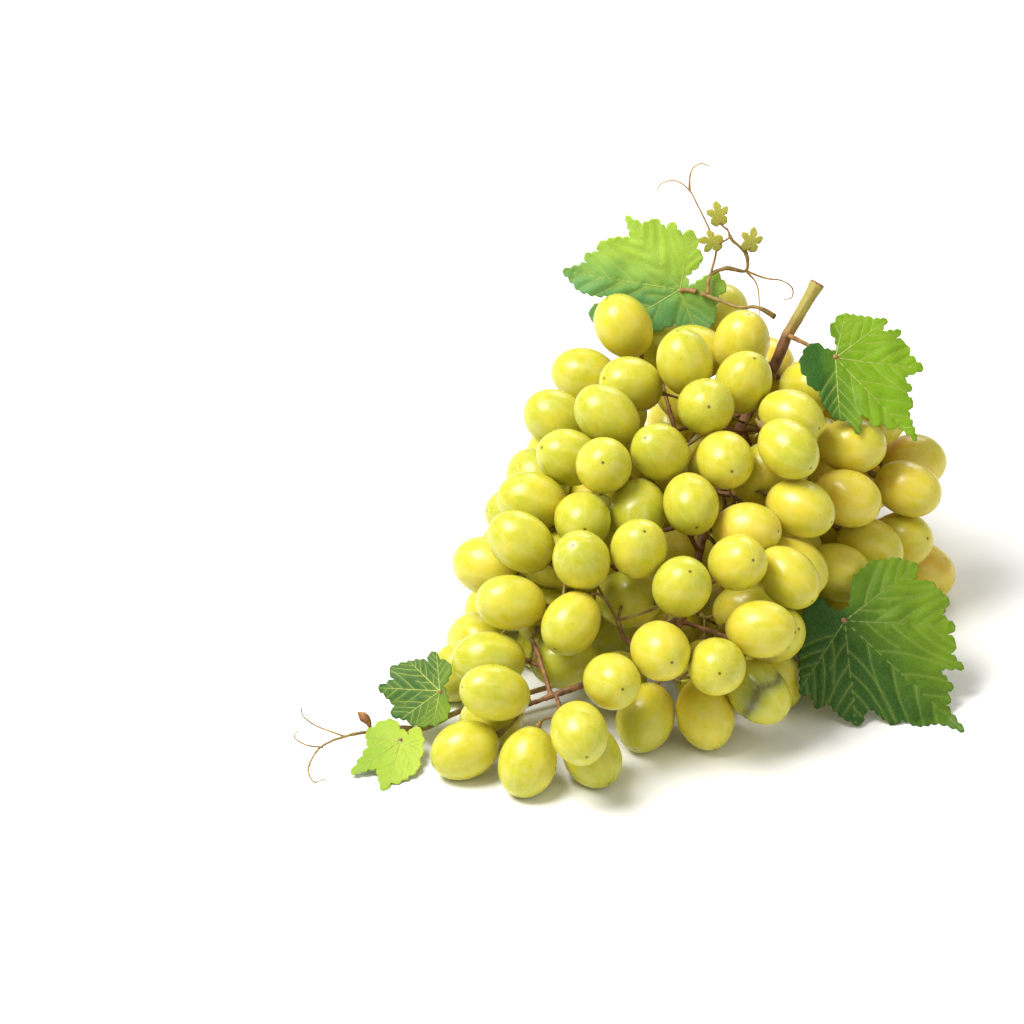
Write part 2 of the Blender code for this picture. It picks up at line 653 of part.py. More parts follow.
def blade_mesh(leaf):
    """The blade as one sheet: a fan round the junction, then a band out to the toothed rim."""
    outline = leaf_outline(leaf)
    bm = bmesh.new()
    hub = bm.verts.new(leaf_point(leaf, 0, 0))
    inner = [bm.verts.new(leaf_point(leaf, *point)) for point in outline[::2] / 2]
    rim = [bm.verts.new(leaf_point(leaf, *point)) for point in outline]
    for k, (near, far) in enumerate(zip(inner, inner[1:] + inner[:1])):
        before, tooth, after = rim[2 * k], rim[2 * k + 1], rim[(2 * k + 2) % len(rim)]
        bm.faces.new((hub, near, far))
        bm.faces.new((near, before, tooth))
        bm.faces.new((near, tooth, far))
        bm.faces.new((far, tooth, after))
    mesh = bpy.data.meshes.new("blade")
    bm.to_mesh(mesh)
    bm.free()
    return mesh


# --------------------------------------------------------------------------- building the meshes


def add_object(name, mesh, finish):
    mesh.name = name
    mesh.materials.clear()
    mesh.materials.append(material(finish))
    obj = bpy.data.objects.new(name, mesh)
    bpy.context.scene.collection.objects.link(obj)
    obj.parent = bunch
    return obj


def evaluated_mesh(obj, name):
    """The object's mesh with its modifiers applied."""
    graph = bpy.context.evaluated_depsgraph_get()
    mesh = bpy.data.meshes.new_from_object(obj.evaluated_get(graph))
    mesh.name = name
    return mesh


def sew(mesh):
    """Make the points that a curve's caps share with its sides one."""
    bm = bmesh.new()
    bm.from_mesh(mesh)
    bmesh.ops.remove_doubles(bm, verts=bm.verts, dist=1e-6)
    bm.to_mesh(mesh)
    bm.free()


def drop_slivers(mesh):
    """Remove the loose crumbs of a few points that a union leaves where stems part."""
    bm = bmesh.new()
    bm.from_mesh(mesh)
    waiting = set(bm.verts)
    while waiting:
        island, edge = set(), {waiting.pop()}
        while edge:
            vert = edge.pop()
            island.add(vert)
            edge |= {link.other_vert(vert) for link in vert.link_edges} - island
        waiting -= island
        if len(island) < STEM_POINTS:
            bmesh.ops.delete(bm, geom=list(island), context="VERTS")
    bm.to_mesh(mesh)
    bm.free()


def stem_mesh(route, first, last, resolution=0):
    """One round stem along a route, with the diameters of its two ends."""
    curve = bpy.data.curves.new("stem", "CURVE")
    curve.dimensions = "3D"
    curve.bevel_depth = 1
    curve.bevel_resolution = resolution
    curve.use_fill_caps = True
    spline = curve.splines.new("POLY")
    spline.points.add(len(route) - 1)
    for k, (point, spot) in enumerate(zip(spline.points, route)):
        point.co = (*spot, 1)
        point.radius = (first + (last - first) * k / (len(route) - 1)) / 2
    guide = bpy.data.objects.new("stem", curve)
    bpy.context.scene.collection.objects.link(guide)
    mesh = evaluated_mesh(guide, "stem")
    sew(mesh)
    bpy.data.objects.remove(guide)
    bpy.data.curves.remove(curve)
    return mesh


def united(name, first, others, finish, cutters=()):
    """Closed meshes that overlap, made one closed body one after another, less the cutters."""
    body = bpy.data.objects.new(name, first)
    bpy.context.scene.collection.objects.link(body)
    helpers = []
    for other in (*others, *cutters):
        helper = bpy.data.objects.new("helper", other)
        bpy.context.scene.collection.objects.link(helper)
        helper.hide_render = True
        helpers.append(helper)
        step = body.modifiers.new("join", "BOOLEAN")
        step.operation = "DIFFERENCE" if other in cutters else "UNION"
        # EXACT leaves slivers where several thin stems part at one fork.
        step.solver = "MANIFOLD"
        step.object = helper
    mesh = evaluated_mesh(body, name)
    drop_slivers(mesh)
    for helper in (body, *helpers):
        bpy.data.objects.remove(helper)
    obj = add_object(name, mesh, finish)
    mesh.shade_smooth()
    mesh.set_sharp_from_angle(angle=math.radians(50))
    return obj


def face_down():
    """The turn that brings one face of an icosphere square to -Z, where the pedicel goes in."""
    bm = bmesh.new()
    bmesh.ops.create_icosphere(bm, subdivisions=2, radius=1)
    lowest = min(bm.faces, key=lambda face: face.calc_center_median().z)
    turn = lowest.normal.rotation_difference(Vector((0, 0, -1))).to_matrix().to_4x4()
    bm.free()
    return turn


def berries_mesh(centres, axes):
    bm = bmesh.new()
    for centre, axis in zip(centres, axes):
        turn = Vector((0, 0, 1)).rotation_difference(Vector(axis)).to_matrix().to_4x4()
        size = Matrix.Diagonal((ACROSS, ACROSS, ALONG, 1))
        where = Matrix.Translation(Vector(centre)) @ turn @ size @ face_down()
        bmesh.ops.create_icosphere(bm, subdivisions=2, radius=1, matrix=where)
    mesh = bpy.data.meshes.new("berries")
    bm.to_mesh(mesh)
    bm.free()
    return mesh


def ground_mesh():
    """A block under the surface, to press the lowest berries flat."""
    bm = bmesh.new()
    spread = Matrix.Diagonal((2 * BUNCH_WIDTH, 2 * BUNCH_LENGTH, 0.02, 1))
    bmesh.ops.create_cube(bm, size=1, matrix=Matrix.Translation((0, BUNCH_LENGTH / 2, -0.01)) @ spread)
    mesh = bpy.data.meshes.new("ground")
    bm.to_mesh(mesh)
    bm.free()
    return mesh


def cut_back(route, trunk, distance):
    """The route with its first point moved to this distance from another stem's route."""
    spot, _ = nearest_on_route(route[0], trunk)
    way = unit(route[1] - spot)
    return np.vstack((spot + distance * way, route[1:]))


def build_skeleton(rachis, laterals):
    trunk = np.vstack((place(PEDUNCLE)[:-1], rachis))
    stem = stem_mesh(trunk, PEDUNCLE_DIAMETER, RACHIS_TIP_DIAMETER, 1)
    branches = []
    for route in laterals:
        last = route[2] - CLEARANCE * unit(route[2] - route[1])
        branches.append(stem_mesh((route[0], route[1], last), LATERAL_DIAMETER, LATERAL_DIAMETER))
    united("stem_skeleton", stem, branches, "woody stem")


def build_sprigs(centres, axes, sprigs, bases, ways):
    for sprig, (base, way) in enumerate(zip(bases, ways)):
        spur = (base + CLEARANCE * way, base + (FORK + PEDICEL_DIAMETER / 4) * way)
        stems = [stem_mesh(spur, LATERAL_DIAMETER, LATERAL_DIAMETER)]
        mine = np.flatnonzero(sprigs == sprig)
        for berry in mine:
            route = pedicel_route(base, way, centres[berry], axes[berry])
            stems.append(stem_mesh(route, PEDICEL_DIAMETER, PEDICEL_DIAMETER))
        berries = berries_mesh(centres[mine], axes[mine])
        sunk = any(vert.co.z < 0 for vert in berries.vertices)
        cutters = [ground_mesh()] if sunk else []
        united(f"sprig_{sprig + 1:02d}", berries, stems, "berry skin", cutters)


def build_leaf(name, leaf, petiole, finish="leaf"):
    blade = bpy.data.objects.new("blade", blade_mesh(leaf))
    bpy.context.scene.collection.objects.link(blade)
    wall = blade.modifiers.new("thickness", "SOLIDIFY")
    wall.thickness = LEAF_THICKNESS
    wall.offset = 0
    sheet = evaluated_mesh(blade, "sheet")
    bpy.data.objects.remove(blade)
    united(name, sheet, [stem_mesh(petiole, PETIOLE_DIAMETER, PETIOLE_DIAMETER)], finish)


def build_outer_stems_and_leaves(rachis):
    trunk = np.vstack((place(PEDUNCLE)[:-1], rachis))
    beside_trunk = PEDUNCLE_DIAMETER / 2 + CANE_DIAMETER / 2 + CLEARANCE
    cane = cut_back(smooth_route(place(CANE_ARCH), 3), trunk, beside_trunk)
    shoot = smooth_route(place(UPPER_SHOOT), 2)
    shoot = cut_back(shoot, cane, CANE_DIAMETER / 2 + SHOOT_DIAMETER / 2 + CLEARANCE)
    low_shoot = cut_back(smooth_route(place(LOW_SHOOT), 2), rachis, beside_trunk)

    def tendril(route):
        return stem_mesh(smooth_route(place(route), 2), TENDRIL_DIAMETER * 1.2, TENDRIL_DIAMETER * 0.7)

    add_object("cane_arch", stem_mesh(cane[:-2], CANE_DIAMETER, CANE_DIAMETER, 1), "woody stem")
    united(
        "upper_shoot",
        stem_mesh(shoot, SHOOT_DIAMETER, SHOOT_DIAMETER),
        [tendril(r) for r in (TENDRIL_LEFT, TENDRIL_TOP, TENDRIL_RIGHT, TENDRIL_DOWN)],
        "green cane",
    )
    united(
        "side_shoot",
        stem_mesh(low_shoot, CANE_DIAMETER, TENDRIL_DIAMETER),
        [tendril(route) for route in (LOW_TENDRIL_OUT, LOW_TENDRIL_FRONT, LOW_BUD)],
        "green cane",
    )

    end_gap = PETIOLE_DIAMETER / 2 + CLEARANCE
    petiole = cut_back(smooth_route(place(PETIOLE_HIGH_LEFT), 2), cane[:-2], CANE_DIAMETER / 2 + end_gap)
    build_leaf("leaf_high_left", LEAF_HIGH_LEFT, petiole)
    petiole = cut_back(
        smooth_route(place(PETIOLE_HIGH_RIGHT), 2), trunk, PEDUNCLE_DIAMETER / 2 + end_gap
    )
    build_leaf("leaf_high_right", LEAF_HIGH_RIGHT, petiole)
    petiole = cut_back(
        smooth_route(place(PETIOLE_LOW_RIGHT), 2), rachis, PEDUNCLE_DIAMETER / 2 + end_gap
    )
    build_leaf("leaf_low_right", LEAF_LOW_RIGHT, petiole)
    for name, leaf, finish in (
        ("leaf_low_dark", LEAF_LOW_DARK, "leaf"),
        ("leaf_low_bright", LEAF_LOW_BRIGHT, "young leaf"),
    ):
        petiole = short_petiole(leaf, low_shoot, CANE_DIAMETER / 2 + end_gap)
        build_leaf(name, leaf, petiole, finish)
    for number, leaf in enumerate(YOUNG_LEAVES, 1):
        petiole = short_petiole(leaf, shoot, SHOOT_DIAMETER / 2 + end_gap)
        build_leaf(f"young_leaf_{number}", leaf, petiole, "young leaf")


def short_petiole(leaf, stem, distance):
    """A straight petiole from beside a stem to the junction of a small leaf."""
    junction = place(leaf["junction"])
    spot, _ = nearest_on_route(junction, stem)
    way = unit(junction - spot)
    return np.array((spot + distance * way, junction))


def bounding_box():
    corners = []
    graph = bpy.context.evaluated_depsgraph_get()
    for obj in bunch.children:
        corners += [obj.matrix_world @ vert.co for vert in obj.evaluated_get(graph).data.vertices]
    return np.min(corners, axis=0), np.max(corners, axis=0)


for old in list(bpy.data.objects):
    bpy.data.objects.remove(old)
bunch = bpy.data.objects.new("bunch", None)
bpy.context.scene.collection.objects.link(bunch)

rachis, centres, axes, sprigs, bases, ways, laterals = grow_bunch()
build_skeleton(rachis, laterals)
build_sprigs(centres, axes, sprigs, bases, ways)
build_outer_stems_and_leaves(rachis)
bpy.context.view_layer.update()
lowest, highest = bounding_box()
bunch.location = (
    -(lowest[0] + highest[0]) / 2, -(lowest[1] + highest[1]) / 2, -lowest[2],
)
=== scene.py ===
"""A bunch of oval white table grapes, lying as cut from the vine with its leaves and tendrils.

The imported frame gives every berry's place and size; the stems that leave the bunch and the leaves
follow the same routes and outlines as the part's own source.
"""

import math
import random

import bmesh
import bpy
import numpy as np
from mathutils import Matrix, Vector, geometry, noise


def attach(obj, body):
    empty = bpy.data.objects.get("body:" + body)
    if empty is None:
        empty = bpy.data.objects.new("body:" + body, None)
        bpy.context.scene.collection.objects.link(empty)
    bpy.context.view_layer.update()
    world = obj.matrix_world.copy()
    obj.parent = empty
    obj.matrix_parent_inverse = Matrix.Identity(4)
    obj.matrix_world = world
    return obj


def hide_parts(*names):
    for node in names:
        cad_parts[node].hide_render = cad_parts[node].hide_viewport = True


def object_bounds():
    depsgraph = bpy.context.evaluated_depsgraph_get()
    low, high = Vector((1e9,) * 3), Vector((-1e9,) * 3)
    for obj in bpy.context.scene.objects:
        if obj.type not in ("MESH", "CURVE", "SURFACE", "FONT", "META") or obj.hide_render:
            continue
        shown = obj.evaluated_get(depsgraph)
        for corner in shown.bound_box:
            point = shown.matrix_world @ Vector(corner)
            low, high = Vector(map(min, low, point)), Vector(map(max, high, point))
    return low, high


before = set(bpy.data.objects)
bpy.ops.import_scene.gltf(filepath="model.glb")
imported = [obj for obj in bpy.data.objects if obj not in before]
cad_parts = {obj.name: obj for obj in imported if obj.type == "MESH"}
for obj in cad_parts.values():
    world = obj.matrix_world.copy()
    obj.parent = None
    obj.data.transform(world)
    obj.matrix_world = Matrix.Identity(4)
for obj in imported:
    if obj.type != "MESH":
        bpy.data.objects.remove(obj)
cad_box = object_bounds()

MM = 0.001
ORIGIN = np.array((20.992, -97.662, 0.0))  # where the layout's zero lies in the frame, in mm
SIGHT_RISE = math.radians(30)  # the leaves' outlines are drawn as seen from this far above

# ---------------------------------------------------------------------------- sizes, in mm

BERRY_SWELL = 1.015  # real berries press together, so they stand a little proud of their solids
DIMPLE = 0.9  # how deep the stem end of a berry sinks in
PEDICEL_RADIUS = 0.5
COLLAR_RADIUS = 1.35  # where a pedicel widens against its berry
SPUR_RADIUS = 0.85
SKELETON_VOXEL = 0.42
BARK_RELIEF = 0.14
LEAF_WALL = 0.35
CUT_END_FLARE = 0.32  # how much wider the peduncle grows at its cut end, as a share
CUT_END_LENGTH = 9  # how far down the peduncle the flare reaches
CUT_FACE_RADIUS = 2.4
PEDUNCLE_REACH = 7  # what lies nearer than this to the peduncle's line is part of it

# ------------------------------------------------------------ the layout, in mm, as in the part

PEDUNCLE = ((48, 180, 104), (43, 175, 97), (37, 170, 88))

CANE_ARCH = ((38, 172, 90), (27, 172, 98), (19, 175, 97), (11, 181, 97), (4, 185, 98))
UPPER_SHOOT = (
    (8, 183, 98), (9, 186, 104), (15, 186, 107), (22, 186, 106), (22, 186, 113), (17, 185, 119),
    (15, 186, 123),
)
TENDRIL_LEFT = (
    (9, 186, 104), (11, 186, 115), (8, 186, 124), (4, 186, 133), (1, 186, 139), (-4, 186, 143),
    (-9, 186, 142), (-11, 186, 139),
)
TENDRIL_TOP = ((1, 186, 139), (1, 186, 144), (2, 186, 148), (5, 186, 150), (8, 186, 149))
TENDRIL_RIGHT = (
    (22, 186, 106), (29, 186, 103), (35, 186, 102), (39, 186, 99), (39, 186, 95), (36, 186, 94),
)
TENDRIL_DOWN = ((22, 186, 106), (26, 185, 101), (27, 181, 95), (27, 176, 92))
LOW_SHOOT = (
    (-2, 72, 28), (-20, 68, 15), (-42, 60, 8), (-64, 49, 7), (-81, 39, 8), (-94, 32, 5),
    (-103, 33, 4), (-113, 31, 4), (-122, 28, 4), (-131, 22, 3), (-135, 10, 2), (-133, 1, 2),
    (-129, 1, 3),
)
LOW_TENDRIL_OUT = ((-123, 28, 4), (-132, 31, 6), (-137, 31, 10), (-138, 31, 14))
LOW_TENDRIL_FRONT = ((-130, 22, 3), (-136, 22, 4), (-140, 22, 7), (-139, 22, 10))
LOW_BUD = ((-113, 31, 4), (-115, 31, 9), (-118, 31, 12))


LEAF_LOW_RIGHT = dict(
    junction=(55, 64, 30), faces=(14, -70, 70), bend=0.0015,
    outline=(
        (-3, 3), (-6, 5), (-9, 8), (-13, 5), (-15, 1), (-16, -7), (-16, -17), (-16, -26),
        (-12, -25), (-10, -31), (-7, -28), (-1, -34), (5, -37), (8, -30), (17, -37), (20, -35),
        (25, -37), (33, -36), (42, -39), (36, -30), (38, -28), (35, -25), (39, -24), (33, -17),
        (43, -17), (38, -12), (40, -8), (37, -5), (40, -2), (35, 2), (38, 7), (31, 14), (25, 14),
        (27, 20), (19, 22), (10, 21), (3, 15), (2, 5),
    ),
)
LEAF_HIGH_RIGHT = dict(
    junction=(53, 133, 99), faces=(20, -63, 75), bend=0.0015,
    outline=(
        (-4, 3), (-8, 5), (-10, 4), (-12, 1), (-13, -3), (-11, -7), (-9, -11), (-6, -12),
        (-5, -17), (-3, -19), (0, -22), (4, -22), (8, -28), (9, -19), (14, -25), (16, -23),
        (20, -26), (22, -24), (29, -30), (26, -19), (28, -16), (25, -12), (28, -11), (24, -7),
        (32, -4), (27, 1), (26, 5), (22, 7), (24, 10), (16, 9), (19, 14), (14, 14), (11, 15),
        (3, 16), (0, 13), (-2, 11), (0, 7), (1, 2),
    ),
)
LEAF_HIGH_LEFT = dict(
    junction=(-2, 186, 98), faces=(-4, -93, 36), bend=0.0010,
    outline=(
        (2, 5), (7, 9), (8, 13), (6, 15), (6, 19), (3, 22), (1, 19), (-3, 25), (-5, 22),
        (-9, 26), (-14, 24), (-20, 27), (-18, 19), (-24, 19), (-30, 17), (-30, 14), (-35, 13),
        (-34, 10), (-43, 7), (-37, 0), (-31, -2), (-21, -2), (-32, -6), (-33, -10), (-28, -14),
        (-17, -13), (-9, -15), (-2, -12), (1, -14), (6, -18), (10, -15), (13, -11), (13, -6),
        (14, -2), (17, 1), (15, 4), (13, 7), (3, 1),
    ),
)
LEAF_LOW_DARK = dict(
    junction=(-89, 34, 19), faces=(-20, -70, 70), bend=0.0030,
    outline=(
        (1, 2), (3, 5), (4, 7), (3, 10), (0, 11), (-3, 14), (-4, 10), (-7, 11), (-12, 10),
        (-18, 8), (-16, 4), (-22, 1), (-16, -5), (-17, -9), (-12, -10), (-8, -12), (-4, -12),
        (0, -11), (3, -8), (3, -4),
    ),
)
LEAF_LOW_BRIGHT = dict(
    junction=(-103, 20, 7), faces=(0, -29, 96), bend=0.0020,
    outline=(
        (0, 4), (-2, 7), (-5, 7), (-9, 5), (-12, 3), (-11, -2), (-13, -5), (-17, -11),
        (-8, -9), (-6, -17), (-3, -14), (1, -13), (6, -10), (7, -6), (8, -2), (8, 2), (6, 5),
        (3, 2),
    ),
)

# The three leaves at the shoot's tip share one outline: the tips point away from the shoot.
YOUNG_OUTLINE = (
    (-2, -1), (-3, 1), (-2, 2), (-4, 5), (-1, 4), (0, 8), (1, 4), (4, 5), (2, 2), (3, 1),
    (2, -1), (0, -1),
)
YOUNG_LEAVES = (
    dict(junction=(12, 186, 126), faces=(-10, -90, 20), bend=0.01, turn=10),
    dict(junction=(12, 183, 119), faces=(0, -90, 30), bend=0.01, turn=80),
    dict(junction=(23, 183, 117), faces=(10, -90, 30), bend=0.01, turn=-15),
)

PETIOLE_LOW_RIGHT = ((3, 92, 35), (20, 90, 31), (38, 82, 27), (48, 72, 27), (55, 64, 30))
PETIOLE_HIGH_LEFT = ((4, 185, 98), (1, 186, 98), (-2, 186, 98))
PETIOLE_HIGH_RIGHT = ((37, 170, 88), (43, 158, 91), (47, 147, 94), (53, 133, 99))


# ------------------------------------------------------------------------------- materials


def linear(hex_colour):
    """An sRGB hex colour as linear RGBA."""
    parts = [int(hex_colour[k:k + 2], 16) / 255 for k in (1, 3, 5)]
    return (*(p / 12.92 if p <= 0.04045 else ((p + 0.055) / 1.055) ** 2.4 for p in parts), 1)


def add(material, kind, inputs=None, **settings):
    """One shader node, with its settings, and its inputs as plain values or other nodes' outputs."""
    tree = material.node_tree
    node = tree.nodes.new("ShaderNode" + kind)
    for name, value in settings.items():
        setattr(node, name, value)
    for key, value in (inputs or {}).items():
        if isinstance(value, bpy.types.NodeSocket):
            tree.links.new(value, node.inputs[key])
        else:
            node.inputs[key].default_value = value
    return node


def new_material(name):
    material = bpy.data.materials.new(name)
    material.use_nodes = True
    return material, material.node_tree.nodes["Principled BSDF"]


def connect(material, pairs):
    for output, socket in pairs:
        material.node_tree.links.new(output, socket)


def grape_skin():
    """Fresh white grape: thin waxy skin over wet flesh, so light sinks in and glows at the edges.

    Faint pale veins run from end to end under the skin, and brown specks and bloom lie on it.
    """
    m, shader = new_material("grape skin")
    place_in = add(m, "TexCoord").outputs["Object"]
    grape = add(m, "Attribute", attribute_name="grape").outputs["Vector"]
    tone = add(m, "Attribute", attribute_name="tone").outputs["Fac"]
    xyz = add(m, "SeparateXYZ", {0: grape})
    clouds = add(m, "TexNoise", {"Vector": place_in, "Scale": 110, "Detail": 3, "Roughness": 0.6})
    drift = add(m, "Math", {0: clouds.outputs["Fac"], 1: 0.5}, operation="SUBTRACT")
    shifted = add(m, "Math", {0: drift.outputs[0], 1: 0.9, 2: tone}, operation="MULTIPLY_ADD")
    ends = add(m, "Math", {0: xyz.outputs["Z"], 1: -0.13, 2: shifted.outputs[0]},
               operation="MULTIPLY_ADD")
    ramp = add(m, "ValToRGB", {"Fac": ends.outputs[0]})
    bands = ramp.color_ramp
    bands.elements[0].position, bands.elements[0].color = 0.0, linear("#BBBB30")
    bands.elements[1].position, bands.elements[1].color = 1.0, linear("#C0822C")
    for position, colour in ((0.3, "#D0C638"), (0.55, "#DECA42"), (0.8, "#D2A936")):
        bands.elements.new(position).color = linear(colour)

    # Veins: pale streaks that run from end to end, wandering a little.
    angle = add(m, "Math", {0: xyz.outputs["Y"], 1: xyz.outputs["X"]}, operation="ARCTAN2")
    wander = add(m, "Math", {0: drift.outputs[0], 1: 5.0}, operation="MULTIPLY")
    phase = add(m, "Math", {0: angle.outputs[0], 1: 9.0, 2: wander.outputs[0]},
                operation="MULTIPLY_ADD")
    streaks = add(m, "Math", {0: phase.outputs[0]}, operation="SINE")
    vein = add(m, "MapRange", {"Value": streaks.outputs[0], "From Min": 0.55, "From Max": 1.0,
                               "To Max": 0.13})
    veined = add(m, "Mix", {0: vein.outputs["Result"], 6: ramp.outputs["Color"],
                            7: linear("#E9E48C")}, data_type="RGBA")

    # Bloom: a thin pale wax, rubbed off in places.
    wax = add(m, "TexNoise", {"Vector": place_in, "Scale": 260, "Detail": 5, "Roughness": 0.65})
    wax_share = add(m, "MapRange", {"Value": wax.outputs["Fac"], "From Min": 0.45, "From Max": 0.75,
                                    "To Max": 0.20})
    waxed = add(m, "Mix", {0: wax_share.outputs["Result"], 6: veined.outputs[2],
                           7: linear("#E6E3B0")}, data_type="RGBA")

    # Lenticels: pin-point brown specks, on some cells of a 2.6 mm grid.
    cells = add(m, "TexVoronoi", {"Vector": place_in, "Scale": 385})
    chosen = add(m, "SeparateColor", {0: cells.outputs["Color"]})
    rare = add(m, "Math", {0: chosen.outputs[0], 1: 0.62}, operation="GREATER_THAN")
    near = add(m, "MapRange", {"Value": cells.outputs["Distance"], "From Min": 0.05,
                               "From Max": 0.11, "To Min": 0.6, "To Max": 0.0})
    speck = add(m, "Math", {0: rare.outputs[0], 1: near.outputs["Result"]}, operation="MULTIPLY")
    specked = add(m, "Mix", {0: speck.outputs[0], 6: waxed.outputs[2], 7: linear("#7A5A1E")},
                  data_type="RGBA")

    # The brown scar of the flower at the blossom end, and a greener ring at the stem.
    scar = add(m, "MapRange", {"Value": xyz.outputs["Z"], "From Min": 0.9955, "From Max": 0.9975,
                               "To Max": 0.85})
    scarred = add(m, "Mix", {0: scar.outputs["Result"], 6: specked.outputs[2],
                             7: linear("#5B3A17")}, data_type="RGBA")
    rim = add(m, "MapRange", {"Value": xyz.outputs["Z"], "From Min": -0.86, "From Max": -0.99,
                              "To Max": 0.6})
    done = add(m, "Mix", {0: rim.outputs["Result"], 6: scarred.outputs[2], 7: linear("#A9A53A")},
               data_type="RGBA")
    gloss = add(m, "MapRange", {"Value": wax.outputs["Fac"], "From Min": 0.35, "From Max": 0.7,
                                "To Min": 0.24, "To Max": 0.42})
    dents = add(m, "Bump", {"Height": clouds.outputs["Fac"], "Strength": 0.12,
                            "Distance": 0.6 * MM})
    connect(m, ((done.outputs[2], shader.inputs["Base Color"]),
                (gloss.outputs["Result"], shader.inputs["Roughness"]),
                (dents.outputs[0], shader.inputs["Normal"])))
    shader.inputs["Subsurface Weight"].default_value = 0.85
    shader.inputs["Subsurface Radius"].default_value = (1.0, 0.85, 0.25)
    shader.inputs["Subsurface Scale"].default_value = 3.5 * MM
    shader.inputs["IOR"].default_value = 1.42
    shader.inputs["Coat Weight"].default_value = 0.15
    shader.inputs["Coat Roughness"].default_value = 0.12
    return m


def bark(name, pale, mid, dark, roughness, end=None):
    """Vine stem: dry, matt, ribbed along in fine wrinkles, with darker pits and paler rubbed spots.

    With an end colour, the attribute "green" fades the bark to it, and "cut" browns the cut face.
    """
    m, shader = new_material(name)
    place_in = add(m, "TexCoord").outputs["Object"]
    patches = add(m, "TexNoise", {"Vector": place_in, "Scale": 260, "Detail": 6, "Roughness": 0.7})
    ramp = add(m, "ValToRGB", {"Fac": patches.outputs["Fac"]})
    bands = ramp.color_ramp
    bands.elements[0].position, bands.elements[0].color = 0.30, linear(dark)
    bands.elements[1].position, bands.elements[1].color = 0.72, linear(pale)
    bands.elements.new(0.5).color = linear(mid)
    colour = ramp.outputs["Color"]
    pits = add(m, "TexVoronoi", {"Vector": place_in, "Scale": 900})
    pit = add(m, "MapRange", {"Value": pits.outputs["Distance"], "From Min": 0.1, "From Max": 0.3,
                              "To Min": 0.45, "To Max": 0.0})
    if end:
        green = add(m, "Attribute", attribute_name="green").outputs["Fac"]
        fade = add(m, "Mix", {0: green, 6: colour, 7: linear(end)}, data_type="RGBA")
        cut = add(m, "Attribute", attribute_name="cut").outputs["Fac"]
        sawn = add(m, "Mix", {0: cut, 6: fade.outputs[2], 7: linear("#8A4A3A")}, data_type="RGBA")
        colour = sawn.outputs[2]
    pitted = add(m, "Mix", {0: pit.outputs["Result"], 6: colour, 7: linear(dark)},
                 data_type="RGBA")
    relief = add(m, "Bump", {"Height": patches.outputs["Fac"], "Strength": 0.5,
                             "Distance": 0.3 * MM})
    connect(m, ((pitted.outputs[2], shader.inputs["Base Color"]),
                (relief.outputs[0], shader.inputs["Normal"])))
    shader.inputs["Roughness"].default_value = roughness
    shader.inputs["Subsurface Weight"].default_value = 0.05
    shader.inputs["Subsurface Scale"].default_value = 1 * MM
    return m


def blade(name, dark, bright, turn, middle, spread):
    """Vine leaf: matt cuticle with a soft sheen, netted with fine veins.

    The colour runs from dark to bright across the blade, as painted shade and painted sheen over
    the leaf's own green: turn is the way, in degrees, and middle and spread, in mm, say where it
    changes. The attribute "leaf" holds the place on the blade.
    """
    m, shader = new_material(name)
    place_on = add(m, "Attribute", attribute_name="leaf").outputs["Vector"]
    xyz = add(m, "SeparateXYZ", {0: place_on})
    patches = add(m, "TexNoise", {"Vector": place_on, "Scale": 0.11, "Detail": 4, "Roughness": 0.6})
    # Painted shade and painted sheen: one side of the blade darker, the other brighter, over the
    # leaf's own green.
    across = add(m, "VectorMath", {0: place_on, 1: (math.cos(math.radians(turn)),
                                                    math.sin(math.radians(turn)), 0)},
                 operation="DOT_PRODUCT")
    shade_to_sheen = add(m, "Math", {0: patches.outputs["Fac"], 1: 1.6 * spread,
                                2: across.outputs["Value"]}, operation="MULTIPLY_ADD")
    share = add(m, "MapRange", {"Value": shade_to_sheen.outputs[0],
                                "From Min": middle - spread + 0.8 * spread,
                                "From Max": middle + spread + 0.8 * spread})
    base = add(m, "Mix", {0: share.outputs["Result"], 6: linear(dark), 7: linear(bright)},
               data_type="RGBA")
    # The net of the finest veins, in cells of about 1.3 mm.
    net = add(m, "TexVoronoi", {"Vector": place_on, "Scale": 0.75}, feature="DISTANCE_TO_EDGE")
    line = add(m, "MapRange", {"Value": net.outputs["Distance"], "From Min": 0.0, "From Max": 0.16,
                               "To Min": 0.09, "To Max": 0.0})
    netted = add(m, "Mix", {0: line.outputs["Result"], 6: base.outputs[2], 7: linear("#A9BC50")},
                 data_type="RGBA")
    # The flesh beside a vein is paler.
    halo = add(m, "MapRange", {"Value": xyz.outputs["Z"], "From Min": 0.1, "From Max": 1.0,
                               "To Min": 0.22, "To Max": 0.0})
    veined = add(m, "Mix", {0: halo.outputs["Result"], 6: netted.outputs[2],
                            7: linear("#A9BC4A")}, data_type="RGBA")
    flecks = add(m, "TexNoise", {"Vector": place_on, "Scale": 1.1, "Detail": 5, "Roughness": 0.7})
    fleck = add(m, "MapRange", {"Value": flecks.outputs["Fac"], "From Min": 0.35, "From Max": 0.7,
                                "To Min": 0.22, "To Max": 0.0})
    shaded = add(m, "Mix", {0: fleck.outputs["Result"], 6: veined.outputs[2], 7: linear(dark)},
                 data_type="RGBA")
    height = add(m, "Math", {0: net.outputs["Distance"], 1: 0.5, 2: flecks.outputs["Fac"]},
                 operation="MULTIPLY_ADD")
    relief = add(m, "Bump", {"Height": height.outputs[0], "Strength": 0.35,
                             "Distance": 0.5 * MM})
    connect(m, ((shaded.outputs[2], shader.inputs["Base Color"]),
                (relief.outputs[0], shader.inputs["Normal"])))
    shader.inputs["Roughness"].default_value = 0.48
    shader.inputs["Subsurface Weight"].default_value = 0.2
    shader.inputs["Subsurface Radius"].default_value = (0.6, 1.0, 0.15)
    shader.inputs["Subsurface Scale"].default_value = 0.8 * MM
    shader.inputs["Specular IOR Level"].default_value = 0.22
    return m


